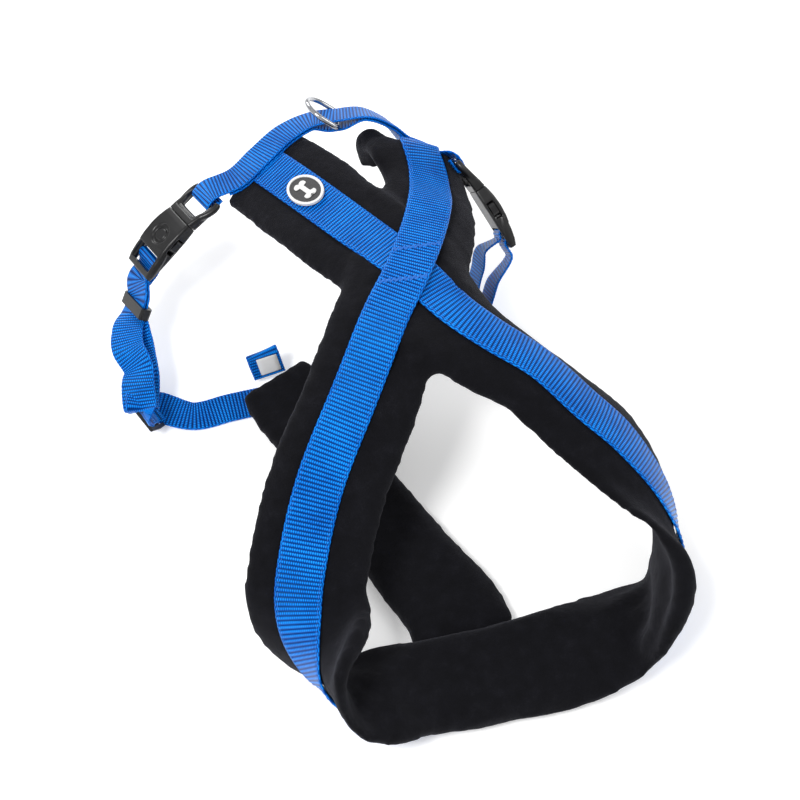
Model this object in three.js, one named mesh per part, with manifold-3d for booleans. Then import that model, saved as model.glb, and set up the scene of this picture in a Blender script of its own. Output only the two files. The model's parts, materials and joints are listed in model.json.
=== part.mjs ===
// Padded no pull dog harness, size L, resting on a flat surface. Millimetres, +Z up.
// Forward (the dog's head) is -Y, the dog's left is +X. The origin is on the resting plane
// under the middle of the chest band.
import * as THREE from 'three';
import { mergeVertices } from 'three/addons/utils/BufferGeometryUtils.js';
import Module from 'manifold-3d';

const wasm = await Module();
wasm.setup();

// ---- driving dimensions ----
const GAP = 0.3;                 // air kept between neighbouring solids
const PAD_THICKNESS = 11;
const PAD_HALF = 39;             // half the width of a pad
const COVER_SKIN = 1.8;          // fleece cover
const WEB_GAP = 0.8;              // air under webbing that lies on a pad
const CORE_GAP = 1.0;            // air between the cover and its foam core
const COVER_SLOT = 24;           // where the cover's two edges stop under the webbing
const PAD_WEB_WIDTH = 32;        // webbing sewn on the pads
const PAD_WEB_THICKNESS = 2;
const GIRTH_WEB_WIDTH = 25;      // webbing of the girth straps
const GIRTH_WEB_THICKNESS = 1.8;
const THREAD_RADIUS = 0.45;
const BUCKLE_WIDTH = 33;
const BAR_RADIUS = 1.7;          // bars that webbing loops round
const RING_WIRE_RADIUS = 2;
const RING_BAR_HALF = 15.6;
const CHEST_CENTRE = [-5, -10, 0];

// ---- materials ----
const plain = (color, roughness, metalness = 0) => () =>
  new THREE.MeshStandardMaterial({ color, roughness, metalness });
const fleece = plain(0x121218, 1);
const foam = plain(0x8a8a86, 0.95);
const blueWeb = plain(0x0a46b4, 0.55);
const blueThread = plain(0x1a62d8, 0.6);
const blackPlastic = plain(0x0b0b0c, 0.3);
const steel = plain(0x8b8f96, 0.25, 1);
const blackRubber = plain(0x101010, 0.6);
const whiteRubber = plain(0xe8e8e6, 0.6);
const whiteLabel = plain(0xf2f2f0, 0.85);

const harness = new THREE.Group();
harness.name = 'no_pull_harness';
harness.position.set(-CHEST_CENTRE[0], -CHEST_CENTRE[1], -CHEST_CENTRE[2]);

const vec = (a) => new THREE.Vector3(...a);
const mix = THREE.MathUtils.lerp;

// ---- closed meshes from lists of rings ----
function fromTriangles(points, triangles) {
  const geometry = new THREE.BufferGeometry();
  geometry.setAttribute('position', new THREE.Float32BufferAttribute(points, 3));
  geometry.setIndex(triangles);
  return faceOut(geometry);
}

function volume(geometry) {
  const at = geometry.getAttribute('position');
  const index = geometry.getIndex();
  const [a, b, c] = [new THREE.Vector3(), new THREE.Vector3(), new THREE.Vector3()];
  let total = 0;
  for (let i = 0; i < index.count; i += 3) {
    a.fromBufferAttribute(at, index.getX(i));
    b.fromBufferAttribute(at, index.getX(i + 1));
    c.fromBufferAttribute(at, index.getX(i + 2));
    total += a.dot(b.cross(c)) / 6;
  }
  return total;
}

function faceOut(geometry) {
  if (volume(geometry) < 0) {
    const index = geometry.getIndex();
    for (let i = 0; i < index.count; i += 3) {
      const keep = index.getX(i);
      index.setX(i, index.getX(i + 1));
      index.setX(i + 1, keep);
    }
  }
  geometry.computeVertexNormals();
  return geometry;
}

// Two triangles for a four-sided face, split along its shorter diagonal.
function fourSided(points, a, b, c, d) {
  const apart = (i, j) => [0, 1, 2].reduce((sum, k) => sum + (points[3 * i + k] - points[3 * j + k]) ** 2, 0);
  return apart(a, c) <= apart(b, d) ? [a, b, c, a, c, d] : [a, b, d, b, c, d];
}

// Joins equal rings of points into one closed skin, with a flat cap at each end unless it closes
// on itself. flat is the section's own 2-D outline, used to cut the caps into triangles.
function skin(rings, flat, closed = false) {
  const outline = flat.map(([x, y]) => new THREE.Vector2(x, y));
  if (THREE.ShapeUtils.isClockWise(outline)) {
    outline.reverse();
    rings.forEach((ring) => ring.reverse());
  }
  const count = flat.length;
  const points = rings.flat().flatMap((p) => [p.x, p.y, p.z]);
  const triangles = [];
  const spans = closed ? rings.length : rings.length - 1;
  for (let r = 0; r < spans; r++) {
    const here = r * count;
    const next = ((r + 1) % rings.length) * count;
    for (let i = 0; i < count; i++) {
      const j = (i + 1) % count;
      triangles.push(...fourSided(points, here + i, here + j, next + j, next + i));
    }
  }
  if (!closed) {
    const last = (rings.length - 1) * count;
    for (const [a, b, c] of THREE.ShapeUtils.triangulateShape(outline, [])) {
      triangles.push(c, b, a, last + a, last + b, last + c);
    }
  }
  return fromTriangles(points, triangles);
}

// ---- joins and cuts ----
function solid(geometry) {
  const bare = geometry.clone();
  bare.deleteAttribute('normal');
  bare.deleteAttribute('uv');
  const merged = mergeVertices(bare, 1e-4);
  return new wasm.Manifold(new wasm.Mesh({
    numProp: 3,
    vertProperties: new Float32Array(merged.getAttribute('position').array),
    triVerts: new Uint32Array(merged.getIndex().array),
  }));
}

function geometryOf(manifold) {
  const mesh = manifold.getMesh();
  return fromTriangles(Array.from(mesh.vertProperties), Array.from(mesh.triVerts));
}

// Cuts the tools away and keeps the largest piece that is left.
function cut(body, ...tools) {
  const left = tools.reduce((rest, tool) => rest.subtract(solid(tool)), solid(body));
  const pieces = left.decompose().sort((a, b) => b.volume() - a.volume());
  return geometryOf(pieces[0]);
}

function join(first, ...others) {
  return geometryOf(others.reduce((sum, other) => sum.add(solid(other)), solid(first)));
}

function box(x0, x1, y0, y1, z0, z1) {
  const geometry = new THREE.BoxGeometry(x1 - x0, y1 - y0, z1 - z0);
  return geometry.translate((x0 + x1) / 2, (y0 + y1) / 2, (z0 + z1) / 2);
}

function disc(radius, z0, z1, sides = 32) {
  const geometry = new THREE.CylinderGeometry(radius, radius, z1 - z0, sides);
  return geometry.rotateX(Math.PI / 2).translate(0, 0, (z0 + z1) / 2);
}

function add(name, geometry, material, parent = harness) {
  const mesh = new THREE.Mesh(geometry, material());
  mesh.name = name;
  parent.add(mesh);
  return mesh;
}

// ---- ribbons ----
// A face row is {at, out, bend, front, rear}: a point on the pad's outer face, the direction that
// face looks, the angle the section bends through over a full width, and the two half widths.
// b runs across the ribbon, towards the dog's tail on the neck loop.
function facePath(rows, step) {
  const curve = new THREE.CatmullRomCurve3(rows.map((row) => vec(row.at)));
  const count = Math.max(2, Math.round(curve.getLength() / step));
  const blendOf = (u, key, fallback) => {
    const place = u * (rows.length - 1);
    const k = Math.min(Math.floor(place), rows.length - 2);
    return mix(rows[k][key] ?? fallback, rows[k + 1][key] ?? fallback, place - k);
  };
  const stations = [];
  for (let i = 0; i <= count; i++) {
    const u = curve.getUtoTmapping(i / count);
    const place = u * (rows.length - 1);
    const k = Math.min(Math.floor(place), rows.length - 2);
    const t = curve.getTangent(u).normalize();
    const n = vec(rows[k].out).lerp(vec(rows[k + 1].out), place - k);
    n.addScaledVector(t, -n.dot(t)).normalize();
    stations.push({
      p: curve.getPoint(u),
      t,
      n,
      b: t.clone().cross(n),
      bend: (blendOf(u, 'bend', 0) * Math.PI) / 180 / (2 * PAD_HALF),
      front: blendOf(u, 'front', PAD_HALF),
      rear: blendOf(u, 'rear', PAD_HALF),
      lift: 0,
      row: place,
    });
  }
  return easeCorners(stations);
}

// Where the path turns sideways tightly, the pad's inner edge is drawn in so that it can't fold over.
const NARROWEST_HALF = 24;
const CORNER_SHARE = 0.62;       // of the corner's radius that the pad's inner half may fill
function easeCorners(stations) {
  const inner = stations.map((st, i) => {
    const ahead = stations[Math.min(i + 1, stations.length - 1)];
    const behind = stations[Math.max(i - 1, 0)];
    const turned = ahead.t.clone().sub(behind.t).dot(st.b);
    const curvature = turned / ahead.p.distanceTo(behind.p);
    const most = CORNER_SHARE / Math.max(Math.abs(curvature), 1e-6);
    return curvature > 0 ? { front: Infinity, rear: most } : { front: most, rear: Infinity };
  });
  return stations.map((st, i) => {
    const near = inner.slice(Math.max(0, i - 2), i + 3);
    const least = (key) => {
      const mean = near.reduce((sum, limit) => sum + Math.min(limit[key], st[key]), 0) / near.length;
      return Math.max(NARROWEST_HALF, Math.min(mean, inner[i][key]));
    };
    return { ...st, front: least('front'), rear: least('rear') };
  });
}

// A strap row is {at, side}: a point on the webbing's centre line and the direction of its width.
function strapPath(rows, step) {
  const curve = new THREE.CatmullRomCurve3(rows.map((row) => vec(row.at)));
  curve.arcLengthDivisions = 600;
  const stations = [];
  for (let k = 0; k < rows.length - 1; k++) {
    const chord = vec(rows[k].at).distanceTo(vec(rows[k + 1].at));
    const parts = Math.max(1, Math.round(chord / step));
    for (let i = 0; i < parts + (k === rows.length - 2 ? 1 : 0); i++) {
      const u = (k + i / parts) / (rows.length - 1);
      const t = curve.getTangent(u).normalize();
      const b = vec(rows[k].side).lerp(vec(rows[k + 1].side), i / parts);
      b.addScaledVector(t, -b.dot(t)).normalize();
      const n = b.clone().cross(t);
      stations.push({ p: curve.getPoint(u), t, b, n, bend: 0, lift: 0, row: k + i / parts });
    }
  }
  return stations;
}

// The point s across and h out from a station, on a section bent about the ribbon's length.
function onStation(station, s, h) {
  const { p, b, n, bend, lift } = station;
  const out = h + lift;
  if (Math.abs(bend) < 1e-6) {
    return p.clone().addScaledVector(b, s).addScaledVector(n, out);
  }
  const radius = 1 / bend;
  const across = (radius + out) * Math.sin(s * bend);
  const up = (radius + out) * Math.cos(s * bend) - radius;
  return p.clone().addScaledVector(b, across).addScaledVector(n, up);
}

// section gives the 2-D outline at a station; every station's outline has the same count.
function sweep(stations, section, closed = false) {
  const rings = stations.map((st) => section(st).map(([s, h]) => onStation(st, s, h)));
  return skin(rings, section(stations[0]), closed);
}

function arc(cx, cy, radius, from, to, parts) {
  const points = [];
  for (let i = 0; i <= parts; i++) {
    const angle = ((from + ((to - from) * i) / parts) * Math.PI) / 180;
    points.push([cx + radius * Math.cos(angle), cy + radius * Math.sin(angle)]);
  }
  return points;
}

// Half a pad's outline on the rear side, from the slot's edge round to the middle of the back.
function padSide(half, inset, parts) {
  const r = PAD_THICKNESS / 2 - inset;
  const edge = half - PAD_THICKNESS / 2;
  const middle = -PAD_THICKNESS / 2;
  return arc(edge, middle, r, 90, -90, parts);
}

const mirrored = (points) => points.map(([s, h]) => [-s, h]).reverse();

// The outline of a pad drawn in by an inset, from the slot's edge round the back to the other edge.
function padOutline({ front, rear }, inset, parts) {
  const slot = COVER_SLOT / 2;
  const back = inset - PAD_THICKNESS;
  return [
    [slot, -inset],
    [slot + 5, -inset],
    ...padSide(rear, inset, parts),
    [slot, back],
    [0, back],
    [-slot, back],
    ...mirrored(padSide(front, inset, parts)),
    [-slot - 5, -inset],
    [-slot, -inset],
  ];
}

const coverSection = (st) => [...padOutline(st, 0, 4), ...padOutline(st, COVER_SKIN, 3).reverse()];

const coreSection = (st) => [...padOutline(st, COVER_SKIN + CORE_GAP, 3), [0, -COVER_SKIN - CORE_GAP]];

const envelopeSection = ({ front, rear }) => {
  const grow = 1.2;
  return [
    [rear + grow, grow + 3],
    [rear + grow, -PAD_THICKNESS - grow],
    [-front - grow, -PAD_THICKNESS - grow],
    [-front - grow, grow + 3],
  ];
};

function webSection(width, from, thickness) {
  const half = width / 2;
  return () => [
    [half, from],
    [half, from + thickness],
    [0, from + thickness],
    [-half, from + thickness],
    [-half, from],
    [0, from],
  ];
}

// ---- the pads' faces ----
// On each path b points to the dog's tail at the chest, so rear is the tail side there.
const CROSS = { at: [9, 246, 131], out: [0.05, 0.06, 1] };
const OVER = PAD_WEB_THICKNESS + WEB_GAP;
const BELLY_FACE = OVER;
const CHEST_FACE = 2 * OVER + 0.2;
const DOWN = [0, 0, -1];

const chestMiddle = { at: [-5, -10, CHEST_FACE], out: DOWN, front: 36, rear: 38 };
const chestJoin = { ...chestMiddle, at: [-7.4, -10, CHEST_FACE] };
const rightNeck = [
  { at: [45, -9, CHEST_FACE + 0.5], out: DOWN, front: 36, rear: 38 },
  { at: [86, -8, 12.5], out: [0.25, -0.35, -0.9], front: 36, rear: 38 },
  { at: [119, 2, 30], out: [0.62, -0.65, -0.42], rear: 36.5 },
  { at: [136, 30, 43], out: [0.92, -0.38, 0], bend: 10 },
  { at: [137, 66, 59], out: [0.82, -0.18, 0.54], bend: 30 },
  { at: [120, 103, 80], out: [0.6, -0.17, 0.78], bend: 45 },
  { at: [98, 129, 97], out: [0.47, -0.1, 0.88], bend: 60 },
  { at: [75, 159, 112], out: [0.43, 0, 0.9], bend: 66, front: 41 },
  { at: [48, 184, 123], out: [0.36, -0.03, 0.93], bend: 50, front: 45 },
  { at: [29, 206, 129], out: [0.25, 0, 0.97], bend: 25, front: 45 },
];
const leftArm = [
  { at: [-20, 299, 126], out: [-0.1, -0.05, 0.97] },
  { at: [-44, 348, 117], out: [-0.17, -0.12, 0.95] },
  { at: [-61, 384, 108], out: [-0.2, -0.1, 0.95] },
  { at: [-66, 395, 104], out: [-0.2, -0.05, 0.95] },
];
const rightArm = [
  { at: [57, 383, 87], out: [0.35, 0.93, -0.05], bend: 15, front: 24, rear: 47 },
  { at: [56, 384, 98], out: [0.4, 0.82, 0.4], bend: 15, front: 25, rear: 48 },
  { at: [54, 375, 108], out: [0.42, 0.25, 0.87], bend: 15, front: 28, rear: 45 },
  { at: [52, 345, 109], out: [0.38, -0.08, 0.9], bend: 25 },
  { at: [38, 300, 119.5], out: [0.12, -0.05, 0.97], bend: 10 },
];
const leftNeck = [
  { at: [-19, 210, 129.5], out: [-0.02, -0.12, 0.98] },
  { at: [-55, 162, 117], out: [-0.12, -0.42, 0.9], front: 42, rear: 36 },
  { at: [-88, 120, 97], out: [-0.15, -0.51, 0.85], front: 42, rear: 36 },
  { at: [-109, 85, 76], out: [-0.22, -0.62, 0.75], front: 42, rear: 36 },
  { at: [-121, 57, 58], out: [-0.36, -0.72, 0.58], front: 42, rear: 36 },
  { at: [-124, 31, 43], out: [-0.7, -0.62, 0.3] },
  { at: [-115, 6, 31], out: [-0.8, -0.55, -0.25], rear: 36 },
  { at: [-88, -10, 19], out: [-0.33, -0.26, -0.91], front: 35, rear: 36 },
  { at: [-50, -12, CHEST_FACE + 2.6], out: DOWN, front: 36, rear: 37 },
];
const belly = [
  { at: [-16.4, 32, BELLY_FACE], out: DOWN, front: 38, rear: 38 },
  { at: [-17, 45, BELLY_FACE], out: DOWN, front: 37, rear: 37 },
  { at: [-31, 85, BELLY_FACE], out: DOWN, front: 36, rear: 36 },
  { at: [-57, 155, BELLY_FACE], out: DOWN, front: 36, rear: 36 },
  { at: [-84, 232, BELLY_FACE], out: DOWN, front: 36, rear: 36 },
  { at: [-92, 254, BELLY_FACE], out: DOWN, front: 33, rear: 33 },
  { at: [-95, 262, BELLY_FACE], out: DOWN, front: 27, rear: 27 },
];

// ---- pads: a fleece cover folded round a foam core, its edges hidden under the webbing ----
function pad(name, stations, keepOut = []) {
  const cover = sweep(stations, coverSection);
  const core = sweep(stations, coreSection);
  add(`${name}_cover`, keepOut.length ? cut(cover, ...keepOut) : cover, fleece);
  add(`${name}_core`, keepOut.length ? cut(core, ...keepOut) : core, foam);
}

// The stations between two rows of the list that a path was made from.
const between = (stations, from, to) => stations.filter(({ row }) => row >= from && row <= to);

const PAD_STEP = 12;
const CROSSED_REACH = 3.5;       // how many rows before the crossing the neck pad clears the long pad
const CROSSED_WEB_REACH = 1.9;
const longRows = [chestMiddle, ...rightNeck, CROSS, ...leftArm];
const longPath = facePath(longRows, PAD_STEP);
const longCross = longRows.indexOf(CROSS);
const crossingRows = [...rightArm, CROSS, ...leftNeck, chestJoin];
const crossingPath = facePath(crossingRows, PAD_STEP);
const crossingCross = crossingRows.indexOf(CROSS);
const bellyPath = facePath(belly, 16);

const longPadSpace = sweep(between(longPath, longCross - CROSSED_REACH, Infinity), envelopeSection);

// ---- webbing sewn on the pads ----
const padWeb = webSection(PAD_WEB_WIDTH, WEB_GAP, PAD_WEB_THICKNESS);

// How far the crossing webbing is lifted to pass over the long webbing.
function crossingLift(row) {
  const away = Math.abs(row - crossingCross);
  return (OVER + 1.7) * (1 - THREE.MathUtils.smoothstep(away, 1.05, 1.8));
}
const crossingWebPath = crossingPath.map((st) => ({ ...st, lift: crossingLift(st.row) }));
const bellyWebRows = [
  { at: [-3, -26, BELLY_FACE], out: DOWN },
  { at: [-5, -10, BELLY_FACE], out: DOWN },
  ...belly.slice(1, -2),
];
const crossedPath = crossingWebPath.filter(({ row }) => Math.abs(row - crossingCross) < CROSSED_WEB_REACH);
const crossedSpace = sweep(crossedPath, webSection(PAD_WEB_WIDTH + 4 * GAP, -GAP / 2, 6));

// ---- hardware frames: x along the strap, z away from the dog ----
function hardwareFrame(at, along, out) {
  const x = vec(along).normalize();
  const z = vec(out);
  z.addScaledVector(x, -z.dot(x)).normalize();
  const y = z.clone().cross(x);
  return new THREE.Matrix4().makeBasis(x, y, z).setPosition(...at);
}

const inFrame = (frame, x, y, z) => new THREE.Vector3(x, y, z).applyMatrix4(frame).toArray();
const widthOf = (frame) => new THREE.Vector3().setFromMatrixColumn(frame, 1).toArray();

function hardwareGroup(frame) {
  const group = new THREE.Group();
  group.applyMatrix4(frame);
  harness.add(group);
  return group;
}

const buckleFrames = {
  left: hardwareFrame([-144, 367.4, 80.7], [0.82, 0.37, 0.436], [-0.44, 0.02, 0.87]),
  right: hardwareFrame([97, 335, 72], [-0.38, 0.72, 0.58], [0.921, 0.239, 0.302]),
};
const keeperFrames = {
  left: hardwareFrame([-182, 335, 43], [0.53, 0.42, 0.74], [-0.775, -0.1, 0.62]),
  right: hardwareFrame([66, 278, 11], [0.93, 0.3, 0.2], [0.25, -0.1, -0.96]),
};
const glideFrames = {
  left: hardwareFrame([-193, 256, 17], [-0.39, -0.57, 0.72], [-0.82, -0.14, -0.56]),
  right: hardwareFrame([34, 276, 8], [1, 0.05, 0.02], [0, 0, -1]),
};

// ---- side-release buckles ----
const MOUTH = 13;                // where the housing ends and the plug's shoulder begins
const WALL = 3.2;
const CAVITY_HALF = BUCKLE_WIDTH / 2 - WALL;
const PRONG_HALF_THICKNESS = 2.4;
const CAVITY_HALF_HEIGHT = PRONG_HALF_THICKNESS + 0.5;
const FEMALE_BAR = [-25.5, -3.6];
const MALE_BAR = [34.5, -3.2];
const PRONG_ROOT = [MOUTH + 0.2, 9.5];

// A block along x whose width, top and bottom change by station: rows of [x, half width, bottom, top].
function loft(rows, corner = 1.6) {
  const parts = 2;
  const rings = rows.map(([x, half, bottom, top]) => {
    const r = Math.min(corner, (top - bottom) / 2 - 0.05);
    return [
      ...arc(half - r, top - r, r, 90, 0, parts),
      ...arc(half - r, bottom + r, r, 0, -90, parts),
      ...arc(-half + r, bottom + r, r, -90, -180, parts),
      ...arc(-half + r, top - r, r, 180, 90, parts),
    ].map(([y, z]) => new THREE.Vector3(x, y, z));
  });
  return skin(rings, rings[0].map((p) => [p.y, p.z]));
}

// A round bar across the strap, centred at [x, z].
function crossBar([x, z], half, radius = BAR_RADIUS) {
  return new THREE.CylinderGeometry(radius, radius, 2 * half, 14).translate(x, 0, z);
}

function femaleHousing() {
  const half = BUCKLE_WIDTH / 2;
  const body = loft([
    [-20, half, -5.4, 4.6],
    [-14, half, -5.2, 5.8],
    [-6, half, -5, 6.4],
    [3, half - 0.3, -4.9, 6.2],
    [9, half - 0.9, -4.8, 5.4],
    [MOUTH, half - 1.4, -4.6, 4.6],
  ]);
  const tail = loft([
    [-38, half - 0.6, -5.2, -0.6],
    [-33, half, -5.4, 1.4],
    [-26, half, -5.4, 3.2],
    [-18, half, -5.4, 4.4],
  ]);
  const window = box(-33.4, -20, -CAVITY_HALF, CAVITY_HALF, -9, 9);
  const cavity = box(-14, MOUTH + 3, -CAVITY_HALF, CAVITY_HALF, -CAVITY_HALF_HEIGHT, CAVITY_HALF_HEIGHT);
  const sideSlots = box(-13.2, 1, -half - 2, half + 2, -CAVITY_HALF_HEIGHT, CAVITY_HALF_HEIGHT);
  const thumbDish = disc(8, 5.4, 9).translate(-6, 0, 0);
  const dishButton = disc(5, 4.9, 6);
  dishButton.translate(-6, 0, 0);
  const shell = cut(body, thumbDish, cavity, sideSlots);
  const frame = cut(tail, window);
  return join(frame, shell, dishButton, crossBar(FEMALE_BAR, CAVITY_HALF + 1));
}

function maleFrame() {
  const half = BUCKLE_WIDTH / 2;
  const shoulderFront = MOUTH + GAP;
  const block = loft([
    [shoulderFront, half - 1.4, -4.6, 4.6],
    [19, half - 0.8, -4.8, 3.6],
    [28, half - 0.4, -5.2, 1.4],
    [36.6, half - 1, -5.4, -1],
  ]);
  const window = box(18.6, 40, -CAVITY_HALF, CAVITY_HALF, -9, 9);
  const openEnd = cut(block, window);
  const guide = box(-5, shoulderFront + 1, -2.2, 2.2, -2, 2);
  return join(openEnd, guide, crossBar(MALE_BAR, CAVITY_HALF + 1));
}

// One springy prong on the +y side, from its root at the shoulder to the button in the side slot.
function prong() {
  const button = BUCKLE_WIDTH / 2 + 0.6;
  const [root, arm] = PRONG_ROOT;
  const outline = new THREE.Shape();
  outline.moveTo(root - 0.2, arm - 1.6);
  outline.lineTo(root - 0.2, arm + 1.6);
  outline.lineTo(1.5, arm + 1.4);
  outline.lineTo(-0.5, button - 1.2);
  outline.quadraticCurveTo(-1.4, button, -3, button);
  outline.lineTo(-8.5, button - 0.8);
  outline.quadraticCurveTo(-11.8, button - 2, -11.6, arm + 0.5);
  outline.lineTo(-9, arm - 1.4);
  outline.lineTo(-2, arm - 1.8);
  outline.closePath();
  const geometry = new THREE.ExtrudeGeometry(outline, {
    depth: 2 * PRONG_HALF_THICKNESS,
    bevelEnabled: false,
    curveSegments: 5,
  });
  return geometry.translate(0, 0, -PRONG_HALF_THICKNESS);
}

// A loop round both layers of the strap; grow makes the space that the strap keeps clear of.
function keeper(grow = 0) {
  const outer = loft([
    [-4.5 - grow, 16.2 + grow, -4.4 - grow, 4.4 + grow],
    [4.5 + grow, 16.2 + grow, -4.4 - grow, 4.4 + grow],
  ], 2);
  const half = GIRTH_WEB_WIDTH / 2 + 0.7 - grow;
  return cut(outer, box(-9, 9, -half, half, -2.7 + grow, 2.7 - grow));
}

const GLIDE_HALF_LENGTH = 13;
const GLIDE_BAR_RADIUS = 1.5;
const GLIDE_HALF_THICKNESS = 1.2;
function triGlide(grow = 0) {
  const half = 16.8 + grow;
  const thick = GLIDE_HALF_THICKNESS + grow;
  const length = GLIDE_HALF_LENGTH + grow;
  const plate = loft([
    [-length, half - 1, -thick, thick],
    [0, half, -thick, thick],
    [length, half - 1, -thick, thick],
  ], 1);
  const slot = box(-10 + grow, 10 - grow, -13.3 + grow, 13.3 - grow, -5, 5);
  return join(cut(plate, slot), crossBar([0, 0], 14, GLIDE_BAR_RADIUS + grow));
}

const mirrorY = (geometry) => {
  const copy = geometry.clone().scale(1, -1, 1);
  const index = copy.getIndex();
  return index ? faceOut(copy) : faceOut(mergeVertices(bareOf(copy), 1e-5));
};

function bareOf(geometry) {
  const bare = geometry.clone();
  bare.deleteAttribute('normal');
  bare.deleteAttribute('uv');
  return bare;
}

const prongShape = faceOut(mergeVertices(bareOf(prong()), 1e-5));
for (const side of ['left', 'right']) {
  const buckle = hardwareGroup(buckleFrames[side]);
  add(`${side}_buckle_housing`, femaleHousing(), blackPlastic, buckle);
  add(`${side}_buckle_plug`, maleFrame(), blackPlastic, buckle);
  add(`${side}_prong_a`, prongShape.clone(), blackPlastic, buckle);
  add(`${side}_prong_b`, mirrorY(prongShape), blackPlastic, buckle);
  add(`${side}_keeper`, keeper(), blackPlastic, hardwareGroup(keeperFrames[side]));
  add(`${side}_tri_glide`, triGlide(), blackPlastic, hardwareGroup(glideFrames[side]));
}

// ---- girth straps ----
const girthWeb = webSection(GIRTH_WEB_WIDTH, -GIRTH_WEB_THICKNESS / 2, GIRTH_WEB_THICKNESS);
const LOOP_RADIUS = BAR_RADIUS + GAP + GIRTH_WEB_THICKNESS / 2 + 0.2;

// Rows of a strap's turn round a bar at [x, z] in a hardware frame, by angle in degrees.
function turn(frame, [x, z], from, to, parts, radius = LOOP_RADIUS) {
  return arc(x, z, radius, from, to, parts).map(([px, pz]) => ({
    at: inFrame(frame, px, 0, pz),
    side: widthOf(frame),
  }));
}

const local = (frame, points) => points.map(([x, z]) => ({
  at: inFrame(frame, x, 0, z),
  side: widthOf(frame),
}));

const turnedRound = (rows) => rows.map(({ at, side }) => ({ at, side: side.map((value) => -value) }));

// The strap's end, sewn under itself, and its turn round the plug's bar.
const plugRows = (frame) => [
  ...local(frame, [[44, MALE_BAR[1] - LOOP_RADIUS - 0.4]]),
  ...turn(frame, MALE_BAR, 270, 90, 6),
  ...local(frame, [[42, 0]]),
];
const backRows = [
  ...turnedRound(plugRows(buckleFrames.left)),
  { at: [-87, 386, 103], side: [0.35, -0.9, 0.2] },
  { at: [-67, 396, 109.5], side: [0.35, -0.9, 0.2] },
  { at: [-43, 410, 114], side: [0.3, -0.92, 0.25] },
  { at: [-22, 415, 117], side: [0.2, -0.9, 0.35] },
  { at: [-2, 411, 120.5], side: [0.15, -0.9, 0.4] },
  { at: [20, 407, 121], side: [0.15, -0.9, 0.4] },
  { at: [37, 401, 112], side: [0.1, -0.88, 0.45] },
  { at: [50, 393, 98], side: [0, -0.6, 0.8] },
  { at: [61, 388, 93], side: [-0.05, -0.6, 0.8] },
  { at: [72, 378, 91], side: [-0.05, -0.65, 0.75] },
  ...plugRows(buckleFrames.right).reverse(),
];
const GIRTH_STEP = 7;
const STRAP_CLEARS = { first: 8, last: 7.4 };      // rows in from each end where it lies on a pad
const DOUBLED = { first: 8.6, last: 9.5 };         // rows in from each end where it has two layers
const backPath = strapPath(backRows, GIRTH_STEP);
add('back_strap_upper', sweep(backPath, girthWeb), blueWeb);

// The lower layer follows the upper one, and dips under the lead ring's bar.
const RING_ROW = backRows.findIndex(({ at }) => at[0] === -2);
const LAYER_DROP = GIRTH_WEB_THICKNESS + GAP + 0.4;
const ringStation = backPath.find(({ row }) => row >= RING_ROW);
const RING_DROP = GIRTH_WEB_THICKNESS / 2 + GAP + RING_WIRE_RADIUS + 0.5;
function layerDrop(station) {
  const away = station.p.distanceTo(ringStation.p);
  return LAYER_DROP + (2 * RING_DROP - LAYER_DROP) * (1 - THREE.MathUtils.smoothstep(away, 3, 22));
}
const lowerPath = backPath
  .filter(({ row }) => row > DOUBLED.first && row < backRows.length - DOUBLED.last)
  .map((st) => ({ ...st, p: st.p.clone().addScaledVector(st.n, -layerDrop(st)) }));
add('back_strap_lower', sweep(lowerPath, girthWeb), blueWeb);

// ---- pads, pressed in where the girth strap and the crossing webbing lie on them ----
const strapSpace = sweep(
  backPath.filter(({ row }) => row > STRAP_CLEARS.first && row < backRows.length - STRAP_CLEARS.last),
  webSection(GIRTH_WEB_WIDTH + 4 * GAP, -LAYER_DROP - GIRTH_WEB_THICKNESS / 2 - 0.5, 8),
);
const plugHalf = BUCKLE_WIDTH / 2 + 0.5;
const plugSpace = box(30, 50, -plugHalf, plugHalf, -9, 5).applyMatrix4(buckleFrames.right);
pad('long_pad', longPath, [crossedSpace, strapSpace]);
pad('left_neck_pad', between(crossingPath, crossingCross, Infinity), [longPadSpace]);
pad('right_arm_pad', between(crossingPath, 0, crossingCross), [longPadSpace, strapSpace, plugSpace]);
pad('belly_pad', bellyPath);
add('long_webbing', cut(sweep(longPath.slice(0, -1), padWeb), strapSpace), blueWeb);
add('crossing_webbing', cut(sweep(crossingWebPath.slice(1), padWeb), strapSpace), blueWeb);
add('belly_webbing', sweep(facePath(bellyWebRows, 18), padWeb), blueWeb);

// ---- lead ring, leaning to the dog's right from between the two layers ----
function leadRing() {
  const outline = new THREE.Path();
  const corner = 3;
  outline.moveTo(0, 0);
  outline.lineTo(RING_BAR_HALF - corner, 0);
  outline.quadraticCurveTo(RING_BAR_HALF, 0, RING_BAR_HALF, corner);
  outline.lineTo(RING_BAR_HALF, 11);
  outline.absarc(0, 11, RING_BAR_HALF, 0, Math.PI);
  outline.lineTo(-RING_BAR_HALF, corner);
  outline.quadraticCurveTo(-RING_BAR_HALF, 0, -RING_BAR_HALF + corner, 0);
  outline.closePath();
  const points = outline.getSpacedPoints(40).slice(0, -1);
  const wire = arc(0, 0, RING_WIRE_RADIUS, 0, 324, 9);
  const up = new THREE.Vector3(0, 0, 1);
  const rings = points.map((p, i) => {
    const ahead = points[(i + 1) % points.length];
    const behind = points.at(i - 1);
    const t = new THREE.Vector3(ahead.x - behind.x, ahead.y - behind.y, 0).normalize();
    const side = up.clone().cross(t);
    const centre = new THREE.Vector3(p.x, p.y, 0);
    return wire.map(([a, b]) => centre.clone().addScaledVector(side, a).addScaledVector(up, b));
  });
  return skin(rings, wire, true);
}
const RING_LEAN = [-0.75, 0.4, 0.53];
const ringCentre = ringStation.p.clone().addScaledVector(ringStation.n, -RING_DROP);
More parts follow.
